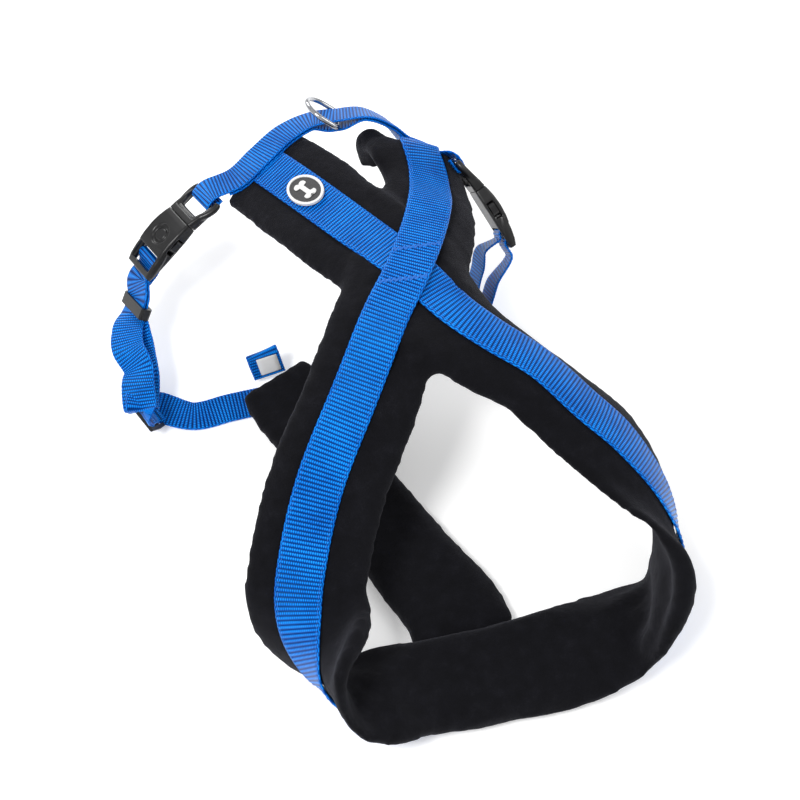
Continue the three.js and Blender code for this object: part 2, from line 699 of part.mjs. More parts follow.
const ringGroup = hardwareGroup(new THREE.Matrix4().makeBasis(
  ringStation.b,
  vec(RING_LEAN).addScaledVector(ringStation.b, -vec(RING_LEAN).dot(ringStation.b)).normalize(),
  ringStation.b.clone().cross(vec(RING_LEAN)).normalize(),
).setPosition(ringCentre));
add('lead_ring', leadRing(), steel, ringGroup);

// Rows of each strap from the belly pad's end: to the glide, on to the keeper, and to the buckle;
// then the way back as far as the glide's centre bar, where the end is sewn.
const adjusters = {
  left: {
    sewn: [
      { at: [-88, 251, 1.2], side: [-0.1, 1, 0] },
      { at: [-131, 252, 1.4], side: [-0.1, 1, 0] },
      { at: [-160, 252, 1.8], side: [-0.1, 1, 0] },
    ],
    outer: [
      { at: [-196, 266, 36], side: [-0.65, 0.65, 0.35] },
      { at: [-193, 281, 40], side: [-0.85, 0.45, 0.2] },
      { at: [-195, 300, 41], side: [-0.75, 0.6, -0.2] },
      { at: [-193, 316, 40], side: [-0.5, 0.82, -0.2] },
    ],
    inner: [
      { at: [-187, 313, 33], side: [-0.55, 0.78, -0.2] },
      { at: [-188, 297, 32], side: [-0.75, 0.6, 0] },
      { at: [-189, 281, 32], side: [-0.85, 0.45, 0.2] },
      { at: [-192, 268, 31], side: [-0.65, 0.65, 0.35] },
    ],
    rise: [],
    leave: [[-29, -8.3], [-33, -9.3], [-38, -9.9], [-44, -10.6]],
    fall: [],
  },
  right: {
    sewn: [
      { at: [-80, 251.5, 1.2], side: [0.3, -1, 0] },
      { at: [-50, 262, 1.4], side: [0.3, -1, 0] },
      { at: [0, 273, 2.4], side: [0.1, -1, 0] },
    ],
    outer: [],
    inner: [],
    rise: [
      { at: [81, 282, 13], side: [0, -0.85, 0.5] },
      { at: [91, 292, 28], side: [-0.08, -0.72, 0.68] },
    ],
    leave: [[-27.5, -7.8]],
    fall: [
      { at: [88, 311, 46], side: [-0.08, -0.72, 0.68] },
      { at: [82, 304, 34], side: [-0.08, -0.72, 0.68] },
      { at: [77, 297, 24], side: [-0.05, -0.75, 0.6] },
      { at: [75, 290, 17], side: [0, -0.85, 0.5] },
    ],
  },
};

function adjusterRows(side) {
  const { sewn, outer, rise, leave, fall, inner } = adjusters[side];
  const glide = glideFrames[side];
  const buckle = buckleFrames[side];
  const keep = keeperFrames[side];
  const wrap = GLIDE_BAR_RADIUS + GAP + GIRTH_WEB_THICKNESS / 2 + 0.1;
  const over = wrap + GIRTH_WEB_THICKNESS + GAP + 0.2;
  const under = GLIDE_HALF_THICKNESS + GAP + GIRTH_WEB_THICKNESS / 2 + 0.3;
  const below = under + GIRTH_WEB_THICKNESS + 0.5;
  return [
    ...sewn,
    ...local(glide, [[-13, -under], [-8, -2.3], [-4.9, 1.8], [0, over], [4.9, 1.8], [8, -2.3], [13, -under]]),
    ...outer,
    ...local(keep, [[-6, 1.25], [6, 1.25]]),
    ...rise,
    ...local(buckle, [[-44, -8], [-37, -7.2], [-33, -6.9]]),
    ...turn(buckle, FEMALE_BAR, 130, -90, 7),
    ...local(buckle, leave),
    ...fall,
    ...local(keep, [[6, -1.25], [-6, -1.25]]),
    ...inner,
    ...local(glide, [[14, -below], [8, -below]]),
    ...turn(glide, [0, 0], -80, -260, 5, wrap),
  ];
}
for (const side of ['left', 'right']) {
  const strap = sweep(strapPath(adjusterRows(side), 8), girthWeb);
  const clear = [
    triGlide(0.25).applyMatrix4(glideFrames[side]),
    keeper(0.25).applyMatrix4(keeperFrames[side]),
  ];
  add(`${side}_adjuster_strap`, cut(strap, ...clear), blueWeb);
}

// ---- stitching: raised zigzags of thread across the crossing webbing, over the edges of the
// webbing beneath ----
const STITCH_PITCH = 2.4;
const STITCH_HALF_WIDTH = 1.5;
const STITCH_REACH = 15;             // from the middle of the crossing to each row of stitches
const WEBBING_ANGLE = Math.PI / 3;   // between the two webbings where they cross
const stitchPath = facePath(crossingRows, 1).map((st) => ({ ...st, lift: crossingLift(st.row) }));
const stitchMiddle = stitchPath.findIndex(({ row }) => row >= crossingCross);

function crossStitch(offset) {
  const half = PAD_WEB_WIDTH / 2 - 2;
  const count = Math.round((2 * half) / STITCH_PITCH);
  const points = [];
  for (let i = 0; i <= count; i++) {
    const s = mix(-half, half, i / count);
    const along = offset + s / Math.tan(WEBBING_ANGLE) + (i % 2 ? 1 : -1) * STITCH_HALF_WIDTH;
    const station = stitchPath[stitchMiddle + Math.round(along)];
    points.push({ at: onStation(station, s, OVER + GAP + THREAD_RADIUS), up: station.n });
  }
  return thread(points);
}

function thread(points) {
  const wire = arc(0, 0, THREAD_RADIUS, 0, 288, 4);
  const rings = points.map(({ at, up }, i) => {
    const ahead = points[Math.min(i + 1, points.length - 1)].at;
    const behind = points[Math.max(i - 1, 0)].at;
    const t = ahead.clone().sub(behind).normalize();
    const side = up.clone().cross(t).normalize();
    const top = t.clone().cross(side);
    return wire.map(([a, b]) => at.clone().addScaledVector(side, a).addScaledVector(top, b));
  });
  return skin(rings, wire);
}

add('cross_stitch_rear', crossStitch(-STITCH_REACH), blueThread);
add('cross_stitch_front', crossStitch(STITCH_REACH), blueThread);

// ---- badge on the left arm: a rubber oval with a plain bone ----
const BADGE = { along: 16.5, across: 12.5, rim: 2, base: 1.4, row: 1.86 };   // row: past the crossing
const badgeStation = longPath.find(({ row }) => row >= longCross + BADGE.row);
const badgeGroup = hardwareGroup(new THREE.Matrix4().makeBasis(
  badgeStation.t,
  badgeStation.n.clone().cross(badgeStation.t),
  badgeStation.n,
).setPosition(badgeStation.p.clone().addScaledVector(badgeStation.n, OVER + 0.7)));

function oval(along, across) {
  const shape = new THREE.Shape();
  shape.absellipse(0, 0, along, across, 0, 2 * Math.PI);
  return shape;
}

function plate(shape, from, to, curveSegments = 20) {
  const geometry = new THREE.ExtrudeGeometry(shape, { depth: to - from, bevelEnabled: false, curveSegments });
  return faceOut(mergeVertices(bareOf(geometry), 1e-5).translate(0, 0, from));
}

function bone() {
  const shape = new THREE.Shape();
  const [shaft, half, knob] = [4.6, 1.5, 2.3];
  shape.moveTo(-shaft, half);
  shape.absarc(-shaft - 1.2, knob - 0.2, knob, 0.3 * Math.PI, 1.35 * Math.PI);
  shape.absarc(-shaft - 1.2, 0.2 - knob, knob, 0.65 * Math.PI, 1.7 * Math.PI);
  shape.lineTo(shaft, -half);
  shape.absarc(shaft + 1.2, 0.2 - knob, knob, 1.3 * Math.PI, 2.35 * Math.PI);
  shape.absarc(shaft + 1.2, knob - 0.2, knob, -0.35 * Math.PI, 0.7 * Math.PI);
  shape.closePath();
  return shape;
}

const rimShape = oval(BADGE.along, BADGE.across);
rimShape.holes.push(oval(BADGE.along - BADGE.rim, BADGE.across - BADGE.rim));
add('badge_rim', plate(rimShape, 0, BADGE.base + 0.6), whiteRubber, badgeGroup);
const inner = BADGE.rim + GAP;
const baseShape = oval(BADGE.along - inner, BADGE.across - inner);
add('badge_base', plate(baseShape, 0, BADGE.base), blackRubber, badgeGroup);
add('badge_motif', plate(bone(), BADGE.base + GAP, BADGE.base + GAP + 0.5, 8), whiteRubber, badgeGroup);

// ---- folded loop with a blank size label, sewn at the belly pad's end ----
const LABEL_SIDE = [0.96, 0.05, 0.26];
const labelRows = [
  [-96, 268, 8],
  [-97.5, 272, 17.5],
  [-98.5, 275.5, 25],
  [-99, 277.5, 26.6],
  [-99, 279.1, 25],
  [-98, 275.6, 16.5],
  [-96.5, 271.7, 8],
].map((at) => ({ at, side: LABEL_SIDE }));
const labelPath = strapPath(labelRows, 4);
add('label_loop', sweep(labelPath, girthWeb), blueWeb);
const TAG_ROWS = { first: 0.4, last: 2.1 };
const tagPath = between(labelPath, TAG_ROWS.first, TAG_ROWS.last);
add('label_tag', sweep(tagPath, webSection(17, GIRTH_WEB_THICKNESS / 2 + GAP, 0.6)), whiteLabel);

export default harness;
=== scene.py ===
import json
import math

import bpy
import numpy as np
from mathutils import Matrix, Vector, noise
from mathutils.kdtree import KDTree

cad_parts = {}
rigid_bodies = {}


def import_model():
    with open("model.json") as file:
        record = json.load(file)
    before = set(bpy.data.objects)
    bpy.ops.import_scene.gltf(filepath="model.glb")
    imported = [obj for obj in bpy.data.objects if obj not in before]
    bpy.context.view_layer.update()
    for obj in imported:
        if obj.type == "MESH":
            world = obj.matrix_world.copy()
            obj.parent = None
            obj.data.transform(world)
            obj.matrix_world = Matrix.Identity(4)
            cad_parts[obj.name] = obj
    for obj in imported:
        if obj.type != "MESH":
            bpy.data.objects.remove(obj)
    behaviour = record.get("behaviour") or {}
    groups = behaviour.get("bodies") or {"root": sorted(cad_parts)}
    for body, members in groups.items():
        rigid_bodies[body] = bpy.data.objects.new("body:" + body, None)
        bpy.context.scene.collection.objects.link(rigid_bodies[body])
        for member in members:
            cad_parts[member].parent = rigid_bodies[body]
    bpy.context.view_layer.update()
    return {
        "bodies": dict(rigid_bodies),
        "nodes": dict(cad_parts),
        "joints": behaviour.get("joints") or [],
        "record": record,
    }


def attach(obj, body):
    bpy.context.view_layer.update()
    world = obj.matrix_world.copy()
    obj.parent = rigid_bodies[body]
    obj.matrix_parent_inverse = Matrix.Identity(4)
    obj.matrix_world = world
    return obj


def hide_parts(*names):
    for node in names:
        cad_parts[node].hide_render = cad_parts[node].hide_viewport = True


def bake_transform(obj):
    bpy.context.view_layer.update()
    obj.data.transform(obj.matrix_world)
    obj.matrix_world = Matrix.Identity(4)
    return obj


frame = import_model()
NODES = frame["nodes"]

# ---- driving dimensions ----
MM = 0.001
ORIGIN = np.array([5.0, 10.0, 0.0])   # the rows' frame to the part's frame
GAP = 0.3
WEB_GAP = 0.8
PAD_THICKNESS = 11
PAD_HALF = 39
PAD_WEB_WIDTH = 32
PAD_WEB_THICKNESS = 2
GIRTH_WEB_WIDTH = 25
GIRTH_WEB_THICKNESS = 1.8
PAD_RIB_PITCH = 2.85
GIRTH_RIB_PITCH = 2.5
THREAD_PITCH = 1.5
BAR_RADIUS = 1.7
RING_WIRE_RADIUS = 2
RING_BAR_HALF = 15.6
PAD_CORNER = 4.8
PAD_MARGIN = 2.9                       # how far the padding stands past its rows' half widths
BELLY_MARGIN = 0.4
LEAST_HALF = 24                        # a pad's half width on the inside of its tightest bend
NARROWING_LENGTH = 20
PAD_ROUGHING = 4                       # a pad's step between stations
PAD_VOXEL = 0.004                      # metres, as are the other lengths of finish_pad()
PAD_SWELL = 0.006
PAD_PRESSURE = 4.0
HELD_REACH = 0.0035
LOWEST = 0.0004
SHELL_VOXEL = 0.0005
EDGE_THREAD_RADIUS = 0.24
STITCH_INSET = 2.4
BOX_THREAD_RADIUS = 0.42
BOX_THREAD_GAP = 1.2
ARM_NARROWING = 6
OVER = PAD_WEB_THICKNESS + WEB_GAP
BELLY_FACE = OVER
CHEST_FACE = 2 * OVER + 0.2


# ---- small vector helpers ----
def unit(a):
    a = np.asarray(a, float)
    return a / np.maximum(np.linalg.norm(a, axis=-1, keepdims=True), 1e-12)


def dots(a, b):
    return (a * b).sum(-1, keepdims=True)


def smoothstep(x, low, high):
    x = np.clip((np.asarray(x, float) - low) / (high - low), 0, 1)
    return x * x * (3 - 2 * x)


def moving_mean(values, count):
    """Each row's mean with its neighbours, the ends repeated."""
    half = max(1, int(count)) // 2
    if half == 0:
        return values
    padded = np.concatenate([values[:1].repeat(half, 0), values, values[-1:].repeat(half, 0)])
    total = np.cumsum(np.concatenate([np.zeros_like(padded[:1]), padded]), axis=0)
    window = 2 * half + 1
    return (total[window:] - total[:-window]) / window


def spline(points, place):
    """A centripetal Catmull-Rom curve through the points, at place, which counts points from 0."""
    points = np.asarray(points, float)
    extended = np.vstack([2 * points[0] - points[1], points, 2 * points[-1] - points[-2]])
    k = np.minimum(np.floor(place).astype(int), len(points) - 2)
    w = (place - k)[:, None]
    p0, p1, p2, p3 = (extended[k + i] for i in range(4))
    d0, d1, d2 = (((a - b) ** 2).sum(1)[:, None] ** 0.25 for a, b in ((p0, p1), (p1, p2), (p2, p3)))
    m1 = ((p1 - p0) / d0 - (p2 - p0) / (d0 + d1) + (p2 - p1) / d1) * d1
    m2 = ((p2 - p1) / d1 - (p3 - p1) / (d1 + d2) + (p3 - p2) / d2) * d1
    cube, square = w**3, w**2
    return (
        (2 * cube - 3 * square + 1) * p1
        + (cube - 2 * square + w) * m1
        + (3 * square - 2 * cube) * p2
        + (cube - square) * m2
    )


# ---- paths ----
class Path:
    """Stations along a ribbon: points p, tangents t, outward normals n, widthwise directions b."""

    def __init__(self, rows, step):
        spans = len(rows) - 1
        fine = np.linspace(0, spans, spans * 80 + 1)
        points = spline([row["at"] for row in rows], fine)
        length = np.concatenate([[0], np.cumsum(np.linalg.norm(np.diff(points, axis=0), axis=1))])
        count = max(2, round(length[-1] / step))
        self.along = np.linspace(0, length[-1], count + 1)
        self.row = np.interp(self.along, length, fine)
        self.p = spline([row["at"] for row in rows], self.row)
        self.t = unit(np.gradient(self.p, axis=0))
        self.step = length[-1] / count
        self.lift = np.zeros(count + 1)
        self.bend = np.zeros(count + 1)

    def blend(self, rows, key, fallback, width=16):
        values = np.array([row.get(key, fallback) for row in rows], float)
        if values.ndim == 1:
            mixed = np.interp(self.row, range(len(rows)), values)
        else:
            mixed = np.stack([np.interp(self.row, range(len(rows)), column) for column in values.T], 1)
        return moving_mean(mixed, width / self.step)

    def part(self, keep):
        """The stations that keep picks out, as a new path."""
        new = object.__new__(Path)
        for key, value in self.__dict__.items():
            setattr(new, key, value[keep] if isinstance(value, np.ndarray) else value)
        return new

    def between(self, low, high):
        return self.part((self.row >= low) & (self.row <= high))

    def at(self, s, h):
        """Points s across and h out from each station, on a section bent about the ribbon's length."""
        s, h = np.broadcast_arrays(np.asarray(s, float), np.asarray(h, float))
        out = h + self.lift[:, None]
        s = np.broadcast_to(s, out.shape)
        bend = np.where(np.abs(self.bend) < 1e-6, 1e-6, self.bend)[:, None]
        across = (1 / bend + out) * np.sin(s * bend)
        up = (1 / bend + out) * np.cos(s * bend) - 1 / bend
        return self.p[:, None] + self.b[:, None] * across[..., None] + self.n[:, None] * up[..., None]


def narrowed(half, inside, most, step):
    """A half width kept clear of the middle of a sideways bend, where it is on the bend's inside."""
    kept = np.where(inside, np.minimum(half, np.maximum(most, LEAST_HALF)), half)
    return moving_mean(kept, NARROWING_LENGTH / step)


def face_path(rows, step):
    """The middle of a pad's outer face: its rows give the face's direction and its half widths."""
    path = Path(rows, step)
    out = path.blend(rows, "out", None, 24)
    path.n = unit(out - dots(out, path.t) * path.t)
    path.b = np.cross(path.t, path.n)
    path.bend = np.radians(path.blend(rows, "bend", 0)) / (2 * PAD_HALF)
    path.front = path.blend(rows, "front", PAD_HALF)
    path.rear = path.blend(rows, "rear", PAD_HALF)
    turned = dots(np.gradient(path.t, axis=0), path.b)[:, 0] / path.step
    most = 0.85 / np.maximum(np.abs(moving_mean(turned, 24 / path.step)), 1e-6)
    path.rear = narrowed(path.rear, turned > 0, most, step)
    path.front = narrowed(path.front, turned < 0, most, step)
    return path


def strap_path(rows, step):
    """The middle of a girth strap: its rows give the direction across the strap."""
    path = Path(rows, step)
    side = path.blend(rows, "side", None, 5)
    path.b = unit(side - dots(side, path.t) * path.t)
    path.n = np.cross(path.b, path.t)
    return path


def row(at, out=None, **more):
    return {"at": at, "out": out, **more} if out is not None else {"at": at, **more}


# ---- rows of the pads' outer faces ----
DOWN = (0, 0, -1)
CROSS = row((9, 246, 131), (0.05, 0.06, 1))
CHEST_MIDDLE = row((-5, -10, CHEST_FACE), DOWN, front=33, rear=35)
RIGHT_NECK = [
    row((45, -9, CHEST_FACE + 0.5), DOWN, front=36, rear=34),
    row((86, -8, 12.5), (0.25, -0.35, -0.9), front=36, rear=38),
    row((119, 2, 30), (0.62, -0.65, -0.42), front=41, rear=37),
    row((136, 30, 43), (0.92, -0.38, 0), bend=10, front=41, rear=43),
    row((137, 66, 59), (0.82, -0.18, 0.54), bend=30, front=45, rear=44),
    row((120, 103, 80), (0.6, -0.17, 0.78), bend=45, front=42, rear=41),
    row((98, 129, 97), (0.47, -0.1, 0.88), bend=60, front=39, rear=41),
    row((75, 159, 112), (0.43, 0, 0.9), bend=66, front=39, rear=37),
    row((48, 184, 123), (0.36, -0.03, 0.93), bend=50, front=43, rear=36),
    row((29, 206, 129), (0.25, 0, 0.97), bend=25, front=45),
]
LEFT_ARM = [
    row((-20, 299, 126), (-0.1, -0.05, 0.97), front=41, rear=38),
    row((-44, 348, 117), (-0.17, -0.12, 0.95), front=42, rear=41),
    row((-61, 384, 108), (-0.2, -0.1, 0.95)),
    row((-66, 395, 104), (-0.2, -0.05, 0.95)),
]
RIGHT_ARM = [
    row((57, 383, 87), (0.35, 0.93, -0.05), bend=15, front=24, rear=47),
    row((56, 384, 98), (0.4, 0.82, 0.4), bend=15, front=25, rear=48),
    row((54, 375, 108), (0.42, 0.25, 0.87), bend=15, front=28, rear=45),
    row((52, 345, 109), (0.38, -0.08, 0.9), bend=25, front=36),
    row((38, 300, 119.5), (0.12, -0.05, 0.97), bend=10, front=37),
]
LEFT_NECK = [
    row((-19, 210, 129.5), (-0.02, -0.12, 0.98)),
    row((-55, 162, 117), (-0.12, -0.42, 0.9), front=44, rear=36),
    row((-88, 120, 97), (-0.15, -0.51, 0.85), front=44, rear=36),
    row((-109, 85, 76), (-0.22, -0.62, 0.75), front=43, rear=36),
    row((-121, 57, 58), (-0.36, -0.72, 0.58), front=41, rear=36),
    row((-124, 31, 43), (-0.7, -0.62, 0.3), front=44),
    row((-118, 7, 31), (-0.8, -0.55, -0.25), front=43, rear=36),
    row((-94, -5, 20), (-0.33, -0.26, -0.91), front=37, rear=36),
    row((-52, -9, CHEST_FACE + 2.6), DOWN, front=29, rear=36),
]
BELLY = [
    row((-16.4, 32, BELLY_FACE), DOWN, front=38, rear=38),
    row((-17, 45, BELLY_FACE), DOWN, front=35, rear=40),
    row((-31, 85, BELLY_FACE), DOWN, front=33, rear=40),
    row((-57, 155, BELLY_FACE), DOWN, front=33, rear=36),
    row((-84, 232, BELLY_FACE), DOWN, front=36, rear=36),
    row((-92, 254, BELLY_FACE), DOWN, front=33, rear=33),
    row((-95, 262, BELLY_FACE), DOWN, front=27, rear=27),
]
LONG_ROWS = [CHEST_MIDDLE, *RIGHT_NECK, CROSS, *LEFT_ARM]
LONG_CROSS = LONG_ROWS.index(CROSS)
CROSSING_ROWS = [*RIGHT_ARM, CROSS, *LEFT_NECK, {**CHEST_MIDDLE, "at": (-7.4, -10, CHEST_FACE)}]
CROSSING_CROSS = CROSSING_ROWS.index(CROSS)
BELLY_WEB_ROWS = [row((-3, -26, BELLY_FACE), DOWN), row((-5, -10, BELLY_FACE), DOWN), *BELLY[1:-2]]


def crossing_lift(rows):
    """How far the crossing webbing and pad rise over the long ones beneath."""
    return (OVER + 1.7) * (1 - smoothstep(np.abs(rows - CROSSING_CROSS), 1.05, 1.8))


# ---- meshes ----
def mesh(name, points, faces, material, smooth=True, **attributes):
    """A new object from points in millimetres in the rows' frame."""
    data = bpy.data.meshes.new(name)
    scaled = (np.asarray(points, float).reshape(-1, 3) + ORIGIN) * MM
    data.from_pydata(scaled.tolist(), [], faces)
    for key, values in attributes.items():
        layer = data.attributes.new(key, "FLOAT", "POINT")
        layer.data.foreach_set("value", np.asarray(values, np.float32).ravel())
    data.validate()
    if smooth:
        data.shade_smooth()
    data.materials.append(material)
    made = bpy.data.objects.new(name, data)
    bpy.context.scene.collection.objects.link(made)
    return made


def ring_faces(rings, count, closed=False, first=0):
    """Faces that join rings of count points into a closed skin."""
    faces = []
    for r in range(rings if closed else rings - 1):
        here = first + r * count
        there = first + ((r + 1) % rings) * count
        for i in range(count):
            j = (i + 1) % count
            faces.append((here + i, here + j, there + j, there + i))
    if not closed:
        faces.append(tuple(first + i for i in reversed(range(count))))
        faces.append(tuple(first + (rings - 1) * count + i for i in range(count)))
    return faces


def volume(points, faces):
    total = 0.0
    points = np.asarray(points, float).reshape(-1, 3)
    for face in faces:
        a = points[face[0]]
        for i in range(1, len(face) - 1):
            total += a @ np.cross(points[face[i]], points[face[i + 1]])
    return total


def skin(name, rings, material, closed=False, **attributes):
    rings = np.asarray(rings, float)
    faces = ring_faces(len(rings), rings.shape[1], closed)
    if volume(rings, faces) < 0:
        faces = [tuple(reversed(face)) for face in faces]
    return mesh(name, rings, faces, material, **attributes)


def webbing(name, path, width, start, thickness, pitch, material):
    """Woven webbing with a rib across it at every pitch, and smooth woven edges."""
    half = width / 2
    share = np.array([1, 0.985, 0.94, 0.9, 0.6, 0.3, 0, -0.3, -0.6, -0.9, -0.94, -0.985, -1])
    rise = np.array([0, 0.6, 0.95, 1, 1, 1, 1, 1, 1, 1, 0.95, 0.6, 0])
    ribbed = np.array([0, 0, 0.2, 1, 1, 1, 1, 1, 1, 1, 0.2, 0, 0])
    share = np.concatenate([share, share[-2:0:-1]])
    rise = np.concatenate([rise, -rise[-2:0:-1]])
    ribbed = np.concatenate([ribbed, -ribbed[-2:0:-1]])
    rib = np.abs(np.sin(math.pi * path.along / pitch))[:, None] ** 0.8
    h = start + thickness / 2 + rise * (thickness / 2 - 0.16) + ribbed * (rib - 0.45) * 0.5
    edge = 0.12 * np.sin(2 * math.pi * path.along / pitch)[:, None] * (np.abs(share) > 0.98)
    s = share * half + np.sign(share) * edge
    rings = path.at(s, h)
    # Stored as the rib attribute, this value puts painted shade in the rib grooves and painted highlights on
    # the crests and woven edges of the webbing's colour. It also drives the ribs' bump.
    rib_shade_mask = np.where(np.abs(share) > 0.92, 0.75, rib)
    turned = np.broadcast_to(s / THREAD_PITCH + 0.5 * np.floor(path.along / pitch)[:, None], rib_shade_mask.shape)
    return skin(name, rings, material, rib=rib_shade_mask, across=turned)


def tube(points, radius, sides=8, closed=False):
    """Rings of a round tube along points."""
    points = np.asarray(points, float)
    if closed:
        tangent = unit(np.roll(points, -1, 0) - np.roll(points, 1, 0))
    else:
        tangent = unit(np.gradient(points, axis=0))
    normal = np.zeros_like(points)
    seed = np.array([0.3, 0.2, 1.0])
    for i, t in enumerate(tangent):
        seed = unit(seed - (seed @ t) * t)
        normal[i] = seed
    binormal = np.cross(tangent, normal)
    angle = np.linspace(0, 2 * math.pi, sides, endpoint=False)
    radius = np.broadcast_to(radius, len(points))[:, None, None]
    return points[:, None] + radius * (
        normal[:, None] * np.cos(angle)[None, :, None] + binormal[:, None] * np.sin(angle)[None, :, None]
    )


def many_tubes(name, lines, radius, material, sides=6):
    """One object of many short closed tubes."""
    points, faces, start = [], [], 0
    for line in lines:
        rings = tube(line, radius, sides)
        new = ring_faces(len(rings), sides, False, start)
        if volume(rings, [tuple(i - start for i in face) for face in new]) < 0:
            new = [tuple(reversed(face)) for face in new]
        points.append(rings.reshape(-1, 3))
        faces += new
        start += rings.shape[0] * sides
    return mesh(name, np.concatenate(points), faces, material)


# ---- materials ----
def shader(name, roughness=0.5, metallic=0.0):
    material = bpy.data.materials.new(name)
    material.use_nodes = True
    tree = material.node_tree
    surface = tree.nodes["Principled BSDF"]
    surface.inputs["Roughness"].default_value = roughness
    surface.inputs["Metallic"].default_value = metallic
    return material, tree, surface


def node(tree, kind, inputs=None, **settings):
    made = tree.nodes.new(kind)
    for key, value in settings.items():
        setattr(made, key, value)
    for key, value in (inputs or {}).items():
        if isinstance(value, bpy.types.NodeSocket):
            tree.links.new(value, made.inputs[key])
        else:
            made.inputs[key].default_value = value
    return made


def speckle(tree, scale, detail=3.0, roughness=0.6):
    place = node(tree, "ShaderNodeTexCoord")
    inputs = {"Vector": place.outputs["Object"], "Scale": scale, "Detail": detail, "Roughness": roughness}
    return node(tree, "ShaderNodeTexNoise", inputs).outputs["Fac"]


def ramp(tree, fac, *stops):
    made = node(tree, "ShaderNodeValToRGB", {"Fac": fac})
    elements = made.color_ramp.elements
    while len(elements) < len(stops):
        elements.new(0.5)
    for element, (position, colour) in zip(elements, stops):
        element.position = position
        element.color = (*colour, 1)
    return made.outputs["Color"]


def coloured(tree, surface, fac, *stops):
    tree.links.new(ramp(tree, fac, *stops), surface.inputs["Base Color"])


def combined(tree, operation, *values):
    return node(tree, "ShaderNodeMath", dict(enumerate(values)), operation=operation).outputs[0]


def remapped(tree, value, before, after):
    inputs = {
        "Value": value,
        "From Min": before[0],
        "From Max": before[1],
        "To Min": after[0],
        "To Max": after[1],
    }
    return node(tree, "ShaderNodeMapRange", inputs).outputs[0]


def bump(tree, surface, height, distance, strength=1.0, under=None):
    inputs = {"Height": height, "Distance": distance, "Strength": strength}
    if under is not None:
        inputs["Normal"] = under
    made = node(tree, "ShaderNodeBump", inputs)
    tree.links.new(made.outputs["Normal"], surface.inputs["Normal"])
    return made.outputs["Normal"]


def fleece_material():
    material, tree, surface = shader("black_fleece", 0.95)
    soft = speckle(tree, 90, 4)
    fine = speckle(tree, 1500, 4, 0.7)
    stops = (
        (0.12, (0.002, 0.002, 0.003)),
        (0.3, (0.004, 0.004, 0.006)),
        (0.48, (0.011, 0.011, 0.015)),
    )
    coloured(tree, surface, combined(tree, "MULTIPLY", soft, fine), *stops)
    surface.inputs["Sheen Weight"].default_value = 0.08
    surface.inputs["Sheen Roughness"].default_value = 0.45
    surface.inputs["Sheen Tint"].default_value = (0.75, 0.76, 0.9, 1)
    surface.inputs["Specular IOR Level"].default_value = 0.15
    first = bump(tree, surface, fine, 0.0008, 0.7)
    bump(tree, surface, soft, 0.0015, 0.5, first)
    return material


def webbing_material():
    material, tree, surface = shader("blue_webbing", 0.38)
    rib = node(tree, "ShaderNodeAttribute", attribute_name="rib").outputs["Fac"]
    across = node(tree, "ShaderNodeAttribute", attribute_name="across").outputs["Fac"]
    wave = combined(tree, "COSINE", combined(tree, "MULTIPLY", across, 2 * math.pi))
    # Rib height times the weave across. The weave is the webbing's own pattern; the rib part is painted shade
    # in the grooves and painted highlight on the crests.
    weave_and_rib_shade = combined(tree, "MULTIPLY", rib, remapped(tree, wave, (-1, 1), (0.45, 1)))
    fine = speckle(tree, 2200, 2)
    wear = speckle(tree, 40, 3)
    spread = remapped(tree, combined(tree, "ADD", fine, wear), (0.5, 1.5), (0.65, 1.3))
    tone_and_rib_shade = combined(tree, "MULTIPLY", weave_and_rib_shade, spread)
    # The ramp's dark low end paints shade into the rib grooves and its bright top paints highlights on the
    # rib crests. The weave beading and the noise are the webbing's own tone.
    stops = (
        (0.05, (0.0, 0.003, 0.035)),
        (0.3, (0.0, 0.026, 0.2)),
        (0.58, (0.0, 0.11, 0.58)),
        (0.9, (0.006, 0.34, 1.0)),
    )
    coloured(tree, surface, tone_and_rib_shade, *stops)
    surface.inputs["Specular Tint"].default_value = (0.1, 0.55, 1, 1)
    surface.inputs["Specular IOR Level"].default_value = 0.6
    bump(tree, surface, weave_and_rib_shade, 0.0004, 0.8)
    return material


def thread_material():
    material, tree, surface = shader("blue_thread", 0.45)
    fine = speckle(tree, 3000, 2)
    coloured(tree, surface, fine, (0.3, (0.0, 0.08, 0.42)), (0.7, (0.02, 0.22, 0.75)))
    bump(tree, surface, fine, 0.0001)
    return material


def plastic_material():
    material, tree, surface = shader("black_plastic", 0.32)
    fine = speckle(tree, 1800, 3)
    blotch = speckle(tree, 45, 3)
    coloured(tree, surface, blotch, (0.3, (0.003, 0.003, 0.0035)), (0.8, (0.008, 0.008, 0.009)))
    rough = remapped(tree, blotch, (0, 1), (0.24, 0.42))
    tree.links.new(rough, surface.inputs["Roughness"])
    bump(tree, surface, fine, 0.00006, 0.5)
    return material


def steel_material():
    material, tree, surface = shader("ring_steel", 0.16, 1.0)
    fine = speckle(tree, 700, 4)
    coloured(tree, surface, fine, (0.3, (0.3, 0.31, 0.33)), (0.7, (0.6, 0.61, 0.63)))
    rough = remapped(tree, fine, (0, 1), (0.1, 0.26))
    tree.links.new(rough, surface.inputs["Roughness"])
    bump(tree, surface, fine, 0.00003, 0.4)
    return material


def rubber_material(name, dark, light):
    material, tree, surface = shader(name, 0.55)
    fine = speckle(tree, 900, 3)
    coloured(tree, surface, fine, (0.3, dark), (0.7, light))
    bump(tree, surface, fine, 0.00008, 0.5)
    return material


def label_material():
    material, tree, surface = shader("white_label", 0.8)
    place = node(tree, "ShaderNodeTexCoord").outputs["Object"]
    weave = node(tree, "ShaderNodeTexWave", {"Vector": place, "Scale": 900, "Distortion": 1.0}).outputs["Fac"]
    coloured(tree, surface, weave, (0.2, (0.72, 0.72, 0.72)), (0.8, (0.9, 0.9, 0.9)))
    bump(tree, surface, weave, 0.0001, 0.6)
    return material


fleece = fleece_material()
blue = webbing_material()
thread = thread_material()
plastic = plastic_material()
steel = steel_material()
black_rubber = rubber_material("badge_black", (0.008, 0.008, 0.009), (0.03, 0.03, 0.032))
white_rubber = rubber_material("badge_white", (0.62, 0.62, 0.61), (0.8, 0.8, 0.79))
white_cloth = label_material()


